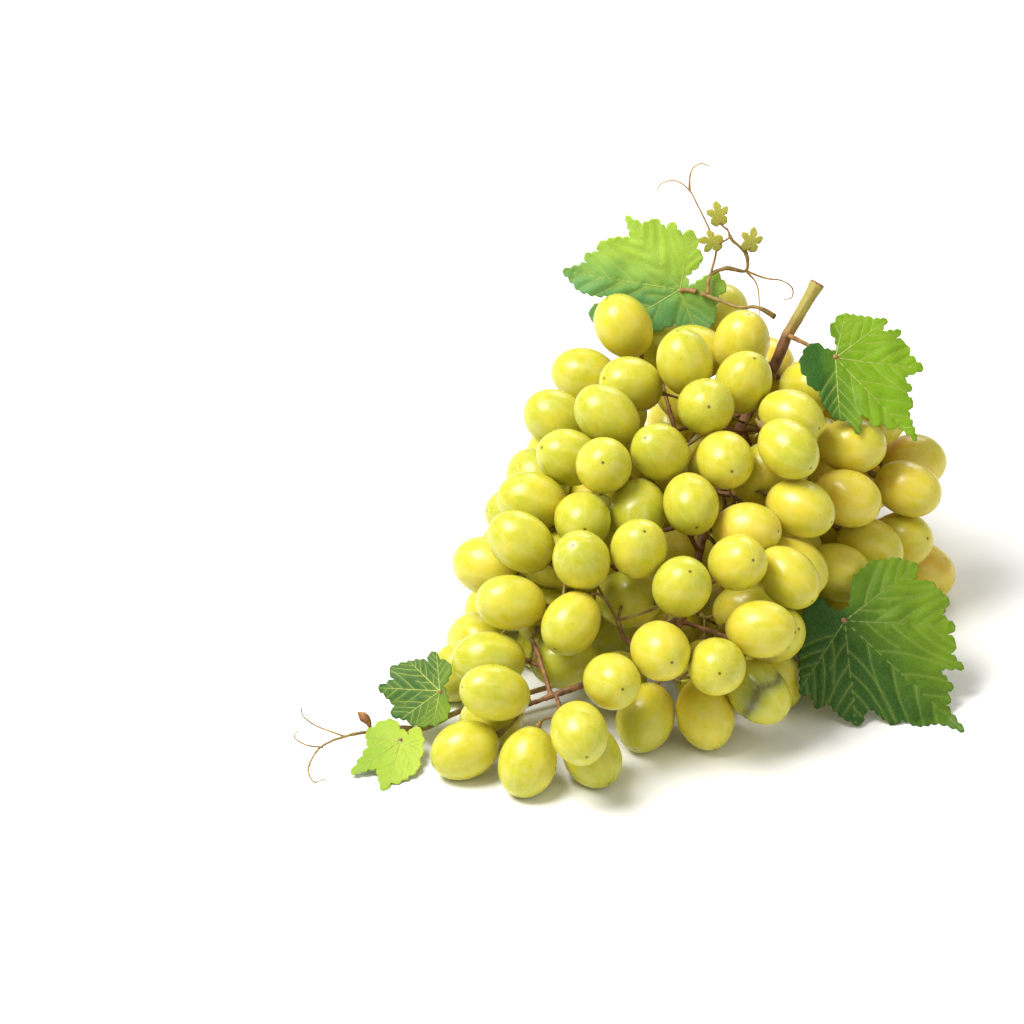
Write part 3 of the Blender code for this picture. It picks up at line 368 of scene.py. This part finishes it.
GRAPE_SKIN = grape_skin()
PEDUNCLE_BARK = bark("cut vine peduncle", "#A97B45", "#7E5430", "#4A2C17", 0.65, "#A99A48")
PEDICEL_BARK = bark("grape pedicel", "#A79A4C", "#8A6F38", "#57381C", 0.6)
TENDRIL_BARK = bark("dry vine tendril", "#C9A25E", "#A98346", "#7A5526", 0.6)
SHOOT_BARK = bark("young vine shoot", "#B59C58", "#93783F", "#5F4626", 0.6)
PETIOLE_SKIN = bark("leaf petiole", "#B49A55", "#9A6E42", "#6E4A2A", 0.5)
VEIN_SKIN = bark("leaf vein", "#C3CB6C", "#AEBB55", "#8FA03C", 0.5)
DARK_VEIN_SKIN = bark("leaf vein, dark leaf", "#93A550", "#7C9340", "#5F7A30", 0.5)
YOUNG_VEIN_SKIN = bark("young leaf vein", "#C9BE70", "#B09F4E", "#8A7A38", 0.5)
BUD_SCALES = bark("vine bud scales", "#B4864C", "#8A5A30", "#50301A", 0.8)

# -------------------------------------------------------------------------------- small helpers


def placed(points):
    """Layout millimetres to metres in the frame."""
    return (np.array(points, float) + ORIGIN) * MM


def unit(vector):
    return vector / np.maximum(np.linalg.norm(vector, axis=-1, keepdims=True), 1e-12)


def smooth_route(points, steps):
    """A Catmull-Rom curve through the points, with this many steps between two of them."""
    ends = np.vstack((2 * points[0] - points[1], points, 2 * points[-1] - points[-2]))
    shares = np.linspace(0, 1, steps, endpoint=False)[:, None]
    runs = []
    for a, b, c, d in zip(ends, ends[1:], ends[2:], ends[3:]):
        bend = 2 * a - 5 * b + 4 * c - d
        twist = 3 * b - a - 3 * c + d
        runs.append(b + 0.5 * shares * (c - a + shares * (bend + shares * twist)))
    return np.vstack(runs + [points[-1:]])


def evaluated_mesh(obj, name):
    graph = bpy.context.evaluated_depsgraph_get()
    mesh = bpy.data.meshes.new_from_object(obj.evaluated_get(graph))
    mesh.name = name
    return mesh


def stems_mesh(stems, sides=2):
    """Round stems as one mesh: each a route in metres with radii in mm, spread evenly along it."""
    curve = bpy.data.curves.new("stems", "CURVE")
    curve.dimensions = "3D"
    curve.bevel_depth = 1
    curve.bevel_resolution = sides
    curve.use_fill_caps = True
    for route, radii in stems:
        spline = curve.splines.new("POLY")
        spline.points.add(len(route) - 1)
        widths = np.interp(np.linspace(0, 1, len(route)), np.linspace(0, 1, len(radii)), radii)
        for point, spot, width in zip(spline.points, route, widths):
            point.co = (*spot, 1)
            point.radius = width * MM
    guide = bpy.data.objects.new("stems", curve)
    bpy.context.scene.collection.objects.link(guide)
    mesh = evaluated_mesh(guide, "stems")
    bpy.data.objects.remove(guide)
    bpy.data.curves.remove(curve)
    return mesh


def roughened(bm, grain, depth):
    """Move the surface in and out: grain and depth in mm."""
    bm.normal_update()
    for vert in bm.verts:
        vert.co += vert.normal * depth * MM * noise.noise(vert.co / (grain * MM))


def make_piece(name, bm, materials, slot, *nodes):
    """The finished mesh as an object that rides with the bunch in place of its nodes."""
    mesh = bpy.data.meshes.new(name)
    bm.to_mesh(mesh)
    bm.free()
    mesh.shade_smooth()
    for material in materials:
        mesh.materials.append(material)
    piece = bpy.data.objects.new(name, mesh)
    bpy.context.scene.collection.objects.link(piece)
    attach(piece, "root")
    if nodes:
        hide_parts(*nodes)
    return piece


def stems_piece(name, stems, material, slot, *nodes, grain=1.2, depth=0.12):
    bm = bmesh.new()
    bm.from_mesh(stems_mesh(stems))
    bmesh.ops.remove_doubles(bm, verts=bm.verts, dist=1e-6)
    roughened(bm, grain, depth)
    return make_piece(name, bm, [material], slot, *nodes)


# ----------------------------------------------------------------------------------- berries

FACET = 8e-6  # square metres: every facet of a berry's solid is larger, every other one smaller
LONGEST_HALF = 14  # mm: a fit longer than this has taken two berries for one
FLAT_BELOW = 0.05 * MM  # corners lower than this were pressed flat
SMALLEST_BERRY = 20  # facets: a smaller group of large ones isn't a berry


def parted(corners, count):
    """The corners of berries that touch, shared out to the nearest of so many middles."""
    middles = corners[[0]]
    while len(middles) < count:
        far = np.linalg.norm(corners[:, None] - middles, axis=2).min(axis=1)
        middles = np.vstack((middles, corners[np.argmax(far)]))
    for _ in range(12):
        nearest = np.argmin(np.linalg.norm(corners[:, None] - middles, axis=2), axis=1)
        middles = np.array([corners[nearest == k].mean(axis=0) for k in range(count)])
    return [corners[nearest == k] for k in range(count)]


def fitted(corners):
    """Centre, long axis and radii (in mm, the longest first) of the ellipsoid through corners."""
    for _ in range(4):
        middle = corners.mean(axis=0)
        x, y, z = ((corners - middle) / MM).T
        terms = np.stack((x * x, y * y, z * z, x * y, x * z, y * z, x, y, z), axis=1)
        q = np.linalg.lstsq(terms, np.ones(len(x)), rcond=None)[0]
        off = np.abs(terms @ q - 1)
        if off.max() < 0.01 or len(corners) < 24:
            break
        # Corners where two berries meet lie on neither of them.
        corners = corners[off < max(0.004, np.quantile(off, 0.86))]
    form = np.array(((q[0], q[3] / 2, q[4] / 2), (q[3] / 2, q[1], q[5] / 2),
                     (q[4] / 2, q[5] / 2, q[2])))
    centre = -0.5 * np.linalg.solve(form, q[6:])
    values, axes = np.linalg.eigh(form / (1 + centre @ form @ centre))
    return middle + centre * MM, axes[:, 0], 1 / np.sqrt(values)


def fits_in(corners):
    """The berries in one group of facets: more than one where they touch."""
    for count in (1, 2, 3, 4):
        fits = [fitted(part) for part in parted(corners, count)]
        if all(radii.max() < LONGEST_HALF for _, _, radii in fits):
            break
    return fits


def read_sprig(node):
    """Each berry of a sprig's solid as (centre, axis to its blossom end, radii), and its stem.

    A berry's facets have their corners on an ellipsoid, which a linear fit gives back.
    """
    bm = bmesh.new()
    bm.from_mesh(node.data)
    bmesh.ops.remove_doubles(bm, verts=bm.verts, dist=2e-6)
    bm.verts.index_update()
    bm.faces.index_update()
    large = {face for face in bm.faces if face.calc_area() > FACET}
    on_berries, groups = set(), []
    while large:
        # Faces and corners are taken by number, so that each run lists the berries in one order.
        first = min(large, key=lambda face: face.index)
        large.remove(first)
        group, edge = set(), {first}
        while edge:
            face = edge.pop()
            group.add(face)
            edge |= {f for v in face.verts for f in v.link_faces if f in large}
            large -= edge
        corners = sorted({vert for face in group for vert in face.verts},
                         key=lambda vert: vert.index)
        on_berries |= set(corners)
        if len(group) > SMALLEST_BERRY:
            spots = np.array([vert.co[:] for vert in corners if vert.co.z > FLAT_BELOW])
            groups.append(spots)
    others = np.array([vert.co[:] for vert in bm.verts if vert not in on_berries])
    bm.free()
    berries = []
    for centre, axis, radii in [fit for corners in groups for fit in fits_in(corners)]:
        if len(others):
            ends = [np.linalg.norm(others - (centre + side * radii[0] * MM * axis), axis=1).min()
                    for side in (-1, 1)]
            axis = axis if ends[0] < ends[1] else -axis
        berries.append((centre, axis, (radii[1] + radii[2]) / 2 * MM, radii[0] * MM))
    off = [spot for spot in others
           if all(np.linalg.norm((spot - c)) > 1.02 * long for c, _, _, long in berries)]
    away = unit(np.mean([c for c, *_ in berries], axis=0) - np.mean(off, axis=0))
    cap = sorted(off, key=lambda spot: spot @ away)[:4]
    return berries, np.mean(cap, axis=0), away


def grow_berry(bm, berry, tone, seed):
    """One berry: an oval a little fuller near the blossom end, dimpled where the pedicel enters."""
    centre, axis, across, along = berry
    grape = bm.verts.layers.float_vector["grape"]
    tones = bm.verts.layers.float["tone"]
    draw = random.Random(seed)
    shift = Vector([draw.uniform(-50, 50) for _ in range(3)])
    turn = Vector((0, 0, 1)).rotation_difference(Vector(axis)).to_matrix()
    turn @= Matrix.Rotation(draw.uniform(0, math.tau), 3, "Z")
    wide, tall = draw.uniform(0.975, 1.02), draw.uniform(0.97, 1.02)
    made = bmesh.ops.create_uvsphere(bm, u_segments=32, v_segments=24, radius=1)
    for vert in made["verts"]:
        x, y, z = spot = vert.co.copy()
        vert[grape] = spot
        vert[tones] = tone
        fuller = 1 + 0.025 * z - 0.03 * z * z * (1 if z < 0 else 0.4)
        uneven = 1 + 0.022 * noise.noise(spot * 1.1 + shift)
        off_axis = math.hypot(x, y)
        sink = DIMPLE * MM / along
        height = z * tall
        if z < 0:
            height += sink * math.exp(-((off_axis / 0.17) ** 2))
        else:
            height -= 0.35 * sink * math.exp(-((off_axis / 0.08) ** 2))
        local = Vector((x * across * wide * fuller, y * across * wide * fuller, height * along))
        vert.co = Vector(centre) + turn @ (local * uneven * BERRY_SWELL)
        vert.co.z = max(vert.co.z, 0)
    return made["verts"]


def pedicel(fork, berry):
    """From the fork in a soft bend to the dimple of a berry, widening to a collar against it."""
    centre, axis, _, along = berry
    pole = centre - (along * BERRY_SWELL - 0.75 * DIMPLE * MM) * axis
    far = np.linalg.norm(pole - fork)
    control = pole - 0.55 * far * axis
    shares = np.linspace(0, 1, 9)[:, None]
    route = (1 - shares) ** 2 * fork + 2 * shares * (1 - shares) * control + shares**2 * pole
    thin = PEDICEL_RADIUS
    radii = (1.25 * thin, thin, 0.95 * thin, 0.95 * thin, thin, 1.05 * thin, 1.3 * thin,
             0.85 * COLLAR_RADIUS, COLLAR_RADIUS)
    return route, radii


def berry_tone(centre):
    """Greener on the left and in front, amber towards the right and the back of the bunch."""
    low, high = cad_box
    across = (centre[0] - low.x) / (high.x - low.x)
    back = (centre[1] - low.y) / (high.y - low.y)
    return 0.16 + 0.62 * max(0, across - 0.42) + 0.22 * max(0, back - 0.45)


def grow_sprigs():
    stalks = []
    draws = random.Random(7)
    for name in sorted(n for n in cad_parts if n.startswith("sprig_")):
        berries, base, away = read_sprig(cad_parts[name])
        bm = bmesh.new()
        bm.verts.layers.float_vector.new("grape")
        bm.verts.layers.float.new("tone")
        fork = base + 1.6 * MM * away
        stalks.append(((base - 0.6 * MM * away, base, fork, fork + 0.5 * MM * away),
                       (SPUR_RADIUS, SPUR_RADIUS, 1.15 * SPUR_RADIUS, 0.5 * SPUR_RADIUS)))
        for berry in berries:
            tone = berry_tone(berry[0]) + draws.uniform(-0.13, 0.17)
            grow_berry(bm, berry, tone, draws.random())
            stalks.append(pedicel(fork, berry))
        make_piece("berries_" + name[6:], bm, [GRAPE_SKIN], "berries", name)
    stems_piece("pedicels", stalks, PEDICEL_BARK, "stem", grain=0.9, depth=0.2)


# -------------------------------------------------------------------------------- the stems


def grow_skeleton():
    """The peduncle, rachis and laterals: their solid, rounded, barked, and flared at the cut."""
    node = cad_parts["stem_skeleton"]
    bm = bmesh.new()
    bm.from_mesh(node.data)
    bmesh.ops.remove_doubles(bm, verts=bm.verts, dist=1e-6)
    mesh = bpy.data.meshes.new("rounded")
    bm.to_mesh(mesh)
    bm.free()
    rough = bpy.data.objects.new("rounded", mesh)
    bpy.context.scene.collection.objects.link(rough)
    step = rough.modifiers.new("voxels", "REMESH")
    step.mode = "VOXEL"
    step.voxel_size = SKELETON_VOXEL * MM
    step = rough.modifiers.new("soft", "SMOOTH")
    step.factor, step.iterations = 0.5, 5
    bm = bmesh.new()
    bm.from_mesh(evaluated_mesh(rough, "rounded"))
    bpy.data.objects.remove(rough)
    green = bm.verts.layers.float.new("green")
    cut = bm.verts.layers.float.new("cut")
    top, _, foot = (Vector(point) for point in placed(PEDUNCLE))
    down = (foot - top).normalized()
    bm.normal_update()
    for vert in bm.verts:
        along = (vert.co - top).dot(down) / MM
        off = vert.co - top - along * MM * down
        beside = off.length < PEDUNCLE_REACH * MM
        if beside and along < CUT_END_LENGTH:
            vert.co += off * CUT_END_FLARE * max(0, 1 - max(along, 0) / CUT_END_LENGTH) ** 1.5
        on_face = beside and along < 0.5 and off.length < CUT_FACE_RADIUS * MM
        vert[cut] = 1.0 if on_face else 0.0
        vert[green] = min(1, max(0, (24 - along) / 12)) if beside else 0.0
        fibre = noise.noise(vert.co / (1.1 * MM))
        knob = noise.noise(vert.co / (3.5 * MM))
        vert.co += vert.normal * MM * (0.16 + BARK_RELIEF * fibre + 1.3 * BARK_RELIEF * knob)
    make_piece("stem_bark", bm, [PEDUNCLE_BARK], "stem", "stem_skeleton")


def grow_outer_stems():
    cane = smooth_route(placed(CANE_ARCH), 8)[4:-2]
    stems_piece("arched_cane", [(cane, (1.2, 0.75, 0.65, 0.6, 0.65, 0.8, 1.1))], SHOOT_BARK, "stem",
                "cane_arch", depth=0.3)
    shoot = smooth_route(placed(UPPER_SHOOT), 7)
    knobs = (0.95, 0.75, 0.7, 0.95, 0.6, 0.55, 0.8, 0.5, 0.6, 0.4)
    stems_piece("twisting_shoot", [(shoot, knobs)], SHOOT_BARK, "shoot", "upper_shoot", depth=0.28)
    hair = (0.5, 0.36, 0.3, 0.27, 0.25, 0.22, 0.18)
    tendrils = [(smooth_route(placed(route), 8), hair) for route in
                (TENDRIL_LEFT, TENDRIL_TOP, TENDRIL_RIGHT, TENDRIL_DOWN)]
    stems_piece("upper_tendrils", tendrils, TENDRIL_BARK, "shoot", depth=0.06)
    low = smooth_route(placed(LOW_SHOOT), 8)
    thick = (1.3, 1.1, 1.0, 0.95, 0.95, 1.0, 1.15, 0.8, 0.5, 0.4, 0.32, 0.26, 0.2)
    stems_piece("low_shoot", [(low, thick)], SHOOT_BARK, "shoot", "side_shoot", depth=0.22)
    curls = [(smooth_route(placed(route), 8), (0.36, 0.3, 0.26, 0.2)) for route in
             (LOW_TENDRIL_OUT, LOW_TENDRIL_FRONT)]
    stems_piece("low_tendrils", curls, TENDRIL_BARK, "shoot", depth=0.05)
    bud = smooth_route(placed(LOW_BUD), 8)
    stems_piece("low_bud", [(bud, (0.5, 0.6, 0.9, 1.5, 1.9, 1.7, 1.1, 0.3))], BUD_SCALES, "shoot",
                grain=0.5, depth=0.5)


# -------------------------------------------------------------------------------- the leaves

SIGHT = np.array((0, math.cos(SIGHT_RISE), -math.sin(SIGHT_RISE)))
SIGHT_UP = np.array((0, math.sin(SIGHT_RISE), math.cos(SIGHT_RISE)))
BLADE_PITCH = 0.8  # mm between the points inside a blade
TOOTH_PITCH = 3.2  # mm along the rim from one lesser tooth to the next
TOOTH_POINT = (0.68, 0.24)  # how far along and how far out its point lies, in shares of its length


def fine_outline(leaf):
    """The outline with lesser teeth along each side of its teeth, in mm on the drawing."""
    points = np.array(leaf["outline"], float)
    if "turn" in leaf:
        turn = math.radians(leaf["turn"])
        points = points @ np.array(((math.cos(turn), math.sin(turn)),
                                    (-math.sin(turn), math.cos(turn))))
    area = np.cross(points, np.roll(points, -1, axis=0)).sum() / 2
    fine = []
    for start, end in zip(points, np.roll(points, -1, axis=0)):
        side = end - start
        count = max(1, round(np.linalg.norm(side) / TOOTH_PITCH))
        along, out = side / count, math.copysign(1, area) * np.array((side[1], -side[0])) / count
        for tooth in range(count):
            foot = start + tooth * along
            point = foot + TOOTH_POINT[0] * along + TOOTH_POINT[1] * out
            fine += [foot, (foot + point) / 2 + 0.04 * out, point]
    return np.array(fine)


def leaf_spot(leaf, right, up, lift=0.0):
    """A point of the blade in metres, from its place on the drawing and its height, in mm."""
    faces = unit(np.array(leaf["faces"], float))
    back = -(right * faces[0] + up * (faces @ SIGHT_UP)) / (faces @ SIGHT)
    back += leaf["bend"] * (right**2 + up**2)
    point = np.array(leaf["junction"]) + np.array((right, 0, 0)) + up * SIGHT_UP + back * SIGHT
    point = point + lift * faces
    sunk = max(0, LEAF_WALL - point[2])
    return Vector(placed(point + sunk / SIGHT[2] * SIGHT))


def lobe_tips(outline, most):
    """The farthest points of the outline, each well round from the others."""
    far = np.linalg.norm(outline, axis=1)
    tips = []
    for k in np.argsort(-far):
        way = outline[k] / far[k]
        if all(way @ (tip / np.linalg.norm(tip)) < 0.78 for tip in tips) and far[k] > 4:
            tips.append(outline[k])
        if len(tips) == most:
            break
    return tips


def inside(outline, spot):
    """Whether a spot lies on the blade."""
    ahead = np.roll(outline, -1, axis=0)
    crosses = (outline[:, 1] > spot[1]) != (ahead[:, 1] > spot[1])
    rise = np.where(crosses, ahead[:, 1] - outline[:, 1], 1)
    at = outline[:, 0] + (spot[1] - outline[:, 1]) / rise * (ahead[:, 0] - outline[:, 0])
    return bool((crosses & (spot[0] < at)).sum() % 2)


def blade_spots(outline):
    """The outline's points, then points in staggered rows all over the blade inside it."""
    rows = np.arange(outline[:, 1].min(), outline[:, 1].max(), 0.87 * BLADE_PITCH)
    spots = []
    for row, up in enumerate(rows):
        first = outline[:, 0].min() + 0.5 * BLADE_PITCH * (row % 2)
        for right in np.arange(first, outline[:, 0].max(), BLADE_PITCH):
            spot = np.array((right, up))
            if inside(outline, spot):
                if np.linalg.norm(outline - spot, axis=1).min() > 0.5 * BLADE_PITCH:
                    spots.append(spot)
    return np.vstack((outline, spots))


def leaf_veins(outline, most):
    """The main veins to the lobes' tips, and the side veins that leave them, as routes in mm."""
    mains = [np.linspace((0, 0), 0.97 * tip, 14) for tip in lobe_tips(outline, most)]
    sides = []
    for k, main in enumerate(mains):
        others = np.vstack([route for j, route in enumerate(mains) if j != k])
        along = unit(main[-1])
        for share in (0.24, 0.46, 0.66, 0.82):
            for turn in (1, -1):
                start = (share + 0.04 * turn) * main[-1]
                way = np.array((along[0] * 0.72 - turn * along[1] * 0.69,
                                along[1] * 0.72 + turn * along[0] * 0.69))
                route = [start]
                while len(route) < 60:
                    way = unit(way + 0.03 * along)
                    spot = route[-1] + 0.9 * way
                    own = np.linalg.norm(main - spot, axis=1).min()
                    other = np.linalg.norm(others - spot, axis=1).min()
                    if not inside(outline, spot) or other < 0.75 * own:
                        break
                    route.append(spot)
                if len(route) > 3:
                    sides.append(np.array(route))
    return mains, sides


def grow_leaf(name, leaf, upper, lower, veins, slot, node, lobes=5, quilt=0.55, wave=0.8):
    """A blade with its toothed rim, quilted between its veins, and the veins standing out of it."""
    outline = fine_outline(leaf)
    mains, sides = leaf_veins(outline, lobes)
    dots = np.vstack(mains + sides)

    def height(spot, beside):
        ripple = noise.noise(Vector((spot[0], spot[1], 3.7)) / 9.0)
        edge = min(1, np.linalg.norm(spot) / 22)
        return quilt * (1 - math.exp(-((beside / 1.6) ** 2))) - quilt + wave * ripple * edge

    spots = blade_spots(outline)
    rim = [(k, (k + 1) % len(outline)) for k in range(len(outline))]
    laid = geometry.delaunay_2d_cdt([Vector(spot) for spot in spots], rim, [], 1, 1e-6)
    bm = bmesh.new()
    place_on = bm.verts.layers.float_vector.new("leaf")
    for spot in laid[0]:
        beside = np.linalg.norm(dots - spot, axis=1).min()
        vert = bm.verts.new(leaf_spot(leaf, *spot, height(spot, beside)))
        vert[place_on] = (spot[0], spot[1], beside)
    bm.verts.ensure_lookup_table()
    for corners in laid[2]:
        bm.faces.new([bm.verts[k] for k in corners])
    bm.normal_update()
    facing = Vector(unit(np.array(leaf["faces"], float)))
    if sum(face.normal.dot(facing) for face in bm.faces) < 0:
        bmesh.ops.reverse_faces(bm, faces=bm.faces)
    sheet = bpy.data.meshes.new("sheet")
    bm.to_mesh(sheet)
    bm.free()
    for material in (upper, lower, veins):
        sheet.materials.append(material)
    flat = bpy.data.objects.new("sheet", sheet)
    bpy.context.scene.collection.objects.link(flat)
    wall = flat.modifiers.new("wall", "SOLIDIFY")
    wall.thickness = LEAF_WALL * MM
    wall.offset = -1
    wall.material_offset = 1
    bm = bmesh.new()
    bm.from_mesh(evaluated_mesh(flat, "sheet"))
    bpy.data.objects.remove(flat)

    stems = []
    for routes, thick, thin in ((mains, 0.24, 0.07), (sides, 0.10, 0.04)):
        for route in routes:
            spots = [leaf_spot(leaf, *spot, height(spot, 0) + 0.02) for spot in route]
            stems.append((spots, (thick * leaf.get("vein", 1), thin * leaf.get("vein", 1))))
    ribs = stems_mesh(stems, sides=1)
    for polygon in ribs.polygons:
        polygon.material_index = 2
    bm.from_mesh(ribs)
    return make_piece(name, bm, [upper, lower, veins], slot, node)


def grow_leaves():
    pale = blade("vine leaf underside", "#7C9148", "#9AAF62", 0, 0, 12)
    # Each blade runs from its dark to its bright green: painted shade and painted sheen over the
    # leaf's own green.
    low_right = blade("vine leaf, dark", "#264F12", "#6F8F12", 35, 12, 14)
    high_right = blade("vine leaf, sunlit", "#2C591A", "#7EA512", 15, 0, 7)
    high_left = blade("vine leaf, pale with painted sheen", "#5F8F52", "#A4C23C", 75, 1, 9)
    low_dark = blade("small vine leaf", "#2F5A16", "#86A51E", -25, 2, 8)
    low_bright = blade("small vine leaf, bright", "#86A52C", "#B9CC48", 0, -2, 10)
    young = blade("young vine leaf", "#8C8A2E", "#B9AE4C", 90, 2, 4)
    for place, leaf, top, veins, quilt, wave in (
        ("low_right", LEAF_LOW_RIGHT, low_right, DARK_VEIN_SKIN, 0.6, 1.3),
        ("high_right", LEAF_HIGH_RIGHT, high_right, VEIN_SKIN, 0.6, 1.3),
        ("high_left", LEAF_HIGH_LEFT, high_left, VEIN_SKIN, 0.6, 1.3),
        ("low_dark", LEAF_LOW_DARK, low_dark, VEIN_SKIN, 0.35, 0.6),
        ("low_bright", LEAF_LOW_BRIGHT, low_bright, VEIN_SKIN, 0.35, 0.6),
    ):
        grow_leaf("blade_" + place, leaf, top, pale, veins, "leaf", "leaf_" + place,
                  quilt=quilt, wave=wave)
    for number, leaf in enumerate(YOUNG_LEAVES, 1):
        leaf = dict(leaf, outline=YOUNG_OUTLINE, vein=0.5)
        grow_leaf(f"young_blade_{number}", leaf, young, young, YOUNG_VEIN_SKIN, "young_leaf",
                  f"young_leaf_{number}", lobes=5, quilt=0.2, wave=0.5)

    low_shoot = smooth_route(placed(LOW_SHOOT), 6)
    upper_shoot = smooth_route(placed(UPPER_SHOOT), 6)
    petioles = [(smooth_route(placed(route), 8), radii) for route, radii in (
        (PETIOLE_LOW_RIGHT, (1.1, 0.85, 0.8, 0.85, 1.0)),
        (PETIOLE_HIGH_LEFT, (1.0, 0.9, 0.9)),
        (PETIOLE_HIGH_RIGHT, (1.1, 0.8, 0.75, 0.8, 0.95)),
    )]
    for leaf, stem, width in (
        (LEAF_LOW_DARK, low_shoot, 0.7), (LEAF_LOW_BRIGHT, low_shoot, 0.7),
        *((leaf, upper_shoot, 0.4) for leaf in YOUNG_LEAVES),
    ):
        junction = placed(leaf["junction"])
        foot = stem[np.argmin(np.linalg.norm(stem - junction, axis=1))]
        sag = (foot + junction) / 2 - np.array((0, 0, 0.3 * MM))
        petioles.append((smooth_route(np.array((foot, sag, junction)), 5),
                         (1.2 * width, width, 0.9 * width, 1.1 * width)))
    stems_piece("petioles", petioles, PETIOLE_SKIN, "leaf", depth=0.12)


# --------------------------------------------------------------------- floor, light and camera


def set_stage():
    bm = bmesh.new()
    bmesh.ops.create_grid(bm, x_segments=1, y_segments=1, size=6)
    mesh = bpy.data.meshes.new("floor")
    bm.to_mesh(mesh)
    bm.free()
    floor = bpy.data.objects.new("floor", mesh)
    bpy.context.scene.collection.objects.link(floor)
    m, shader = new_material("white paper backdrop")
    shader.inputs["Base Color"].default_value = linear("#F7F6F3")
    shader.inputs["Roughness"].default_value = 0.9
    shader.inputs["Specular IOR Level"].default_value = 0.1
    mesh.materials.append(m)

    world = bpy.data.worlds.new("studio")
    world.use_nodes = True
    world.node_tree.nodes["Background"].inputs[0].default_value = linear("#FFFFFF")
    world.node_tree.nodes["Background"].inputs[1].default_value = 0.42
    bpy.context.scene.world = world
    for name, spot, size, power in (
        ("softbox", (-0.50, -0.15, 0.95), 0.55, 16.0),
        ("fill", (0.9, -0.8, 0.6), 0.9, 2.2),
        ("back", (0.3, 1.1, 0.8), 0.6, 5.0),
    ):
        lamp = bpy.data.lights.new(name, "AREA")
        lamp.size, lamp.energy = size, power
        obj = bpy.data.objects.new(name, lamp)
        obj.location = spot
        obj.rotation_euler = (-Vector(spot)).to_track_quat("-Z", "Y").to_euler()
        bpy.context.scene.collection.objects.link(obj)


def set_camera():
    """A long lens 30 degrees above the surface, aimed left of the bunch."""
    field, distance, sensor = 365.6 * MM, 2.5, 36
    lens = bpy.data.cameras.new("camera")
    lens.sensor_width = sensor
    lens.lens = sensor * distance / field
    lens.clip_start, lens.clip_end = 0.1, 20
    camera = bpy.data.objects.new("camera", lens)
    bpy.context.scene.collection.objects.link(camera)
    aim = Vector(placed((-63.5, 90, 59.6)))
    camera.location = aim - distance * Vector(SIGHT)
    camera.rotation_euler = Vector(SIGHT).to_track_quat("-Z", "Y").to_euler()
    bpy.context.scene.camera = camera


grow_sprigs()
grow_skeleton()
grow_outer_stems()
grow_leaves()
set_stage()
set_camera()
bpy.context.scene.view_settings.view_transform = "Standard"
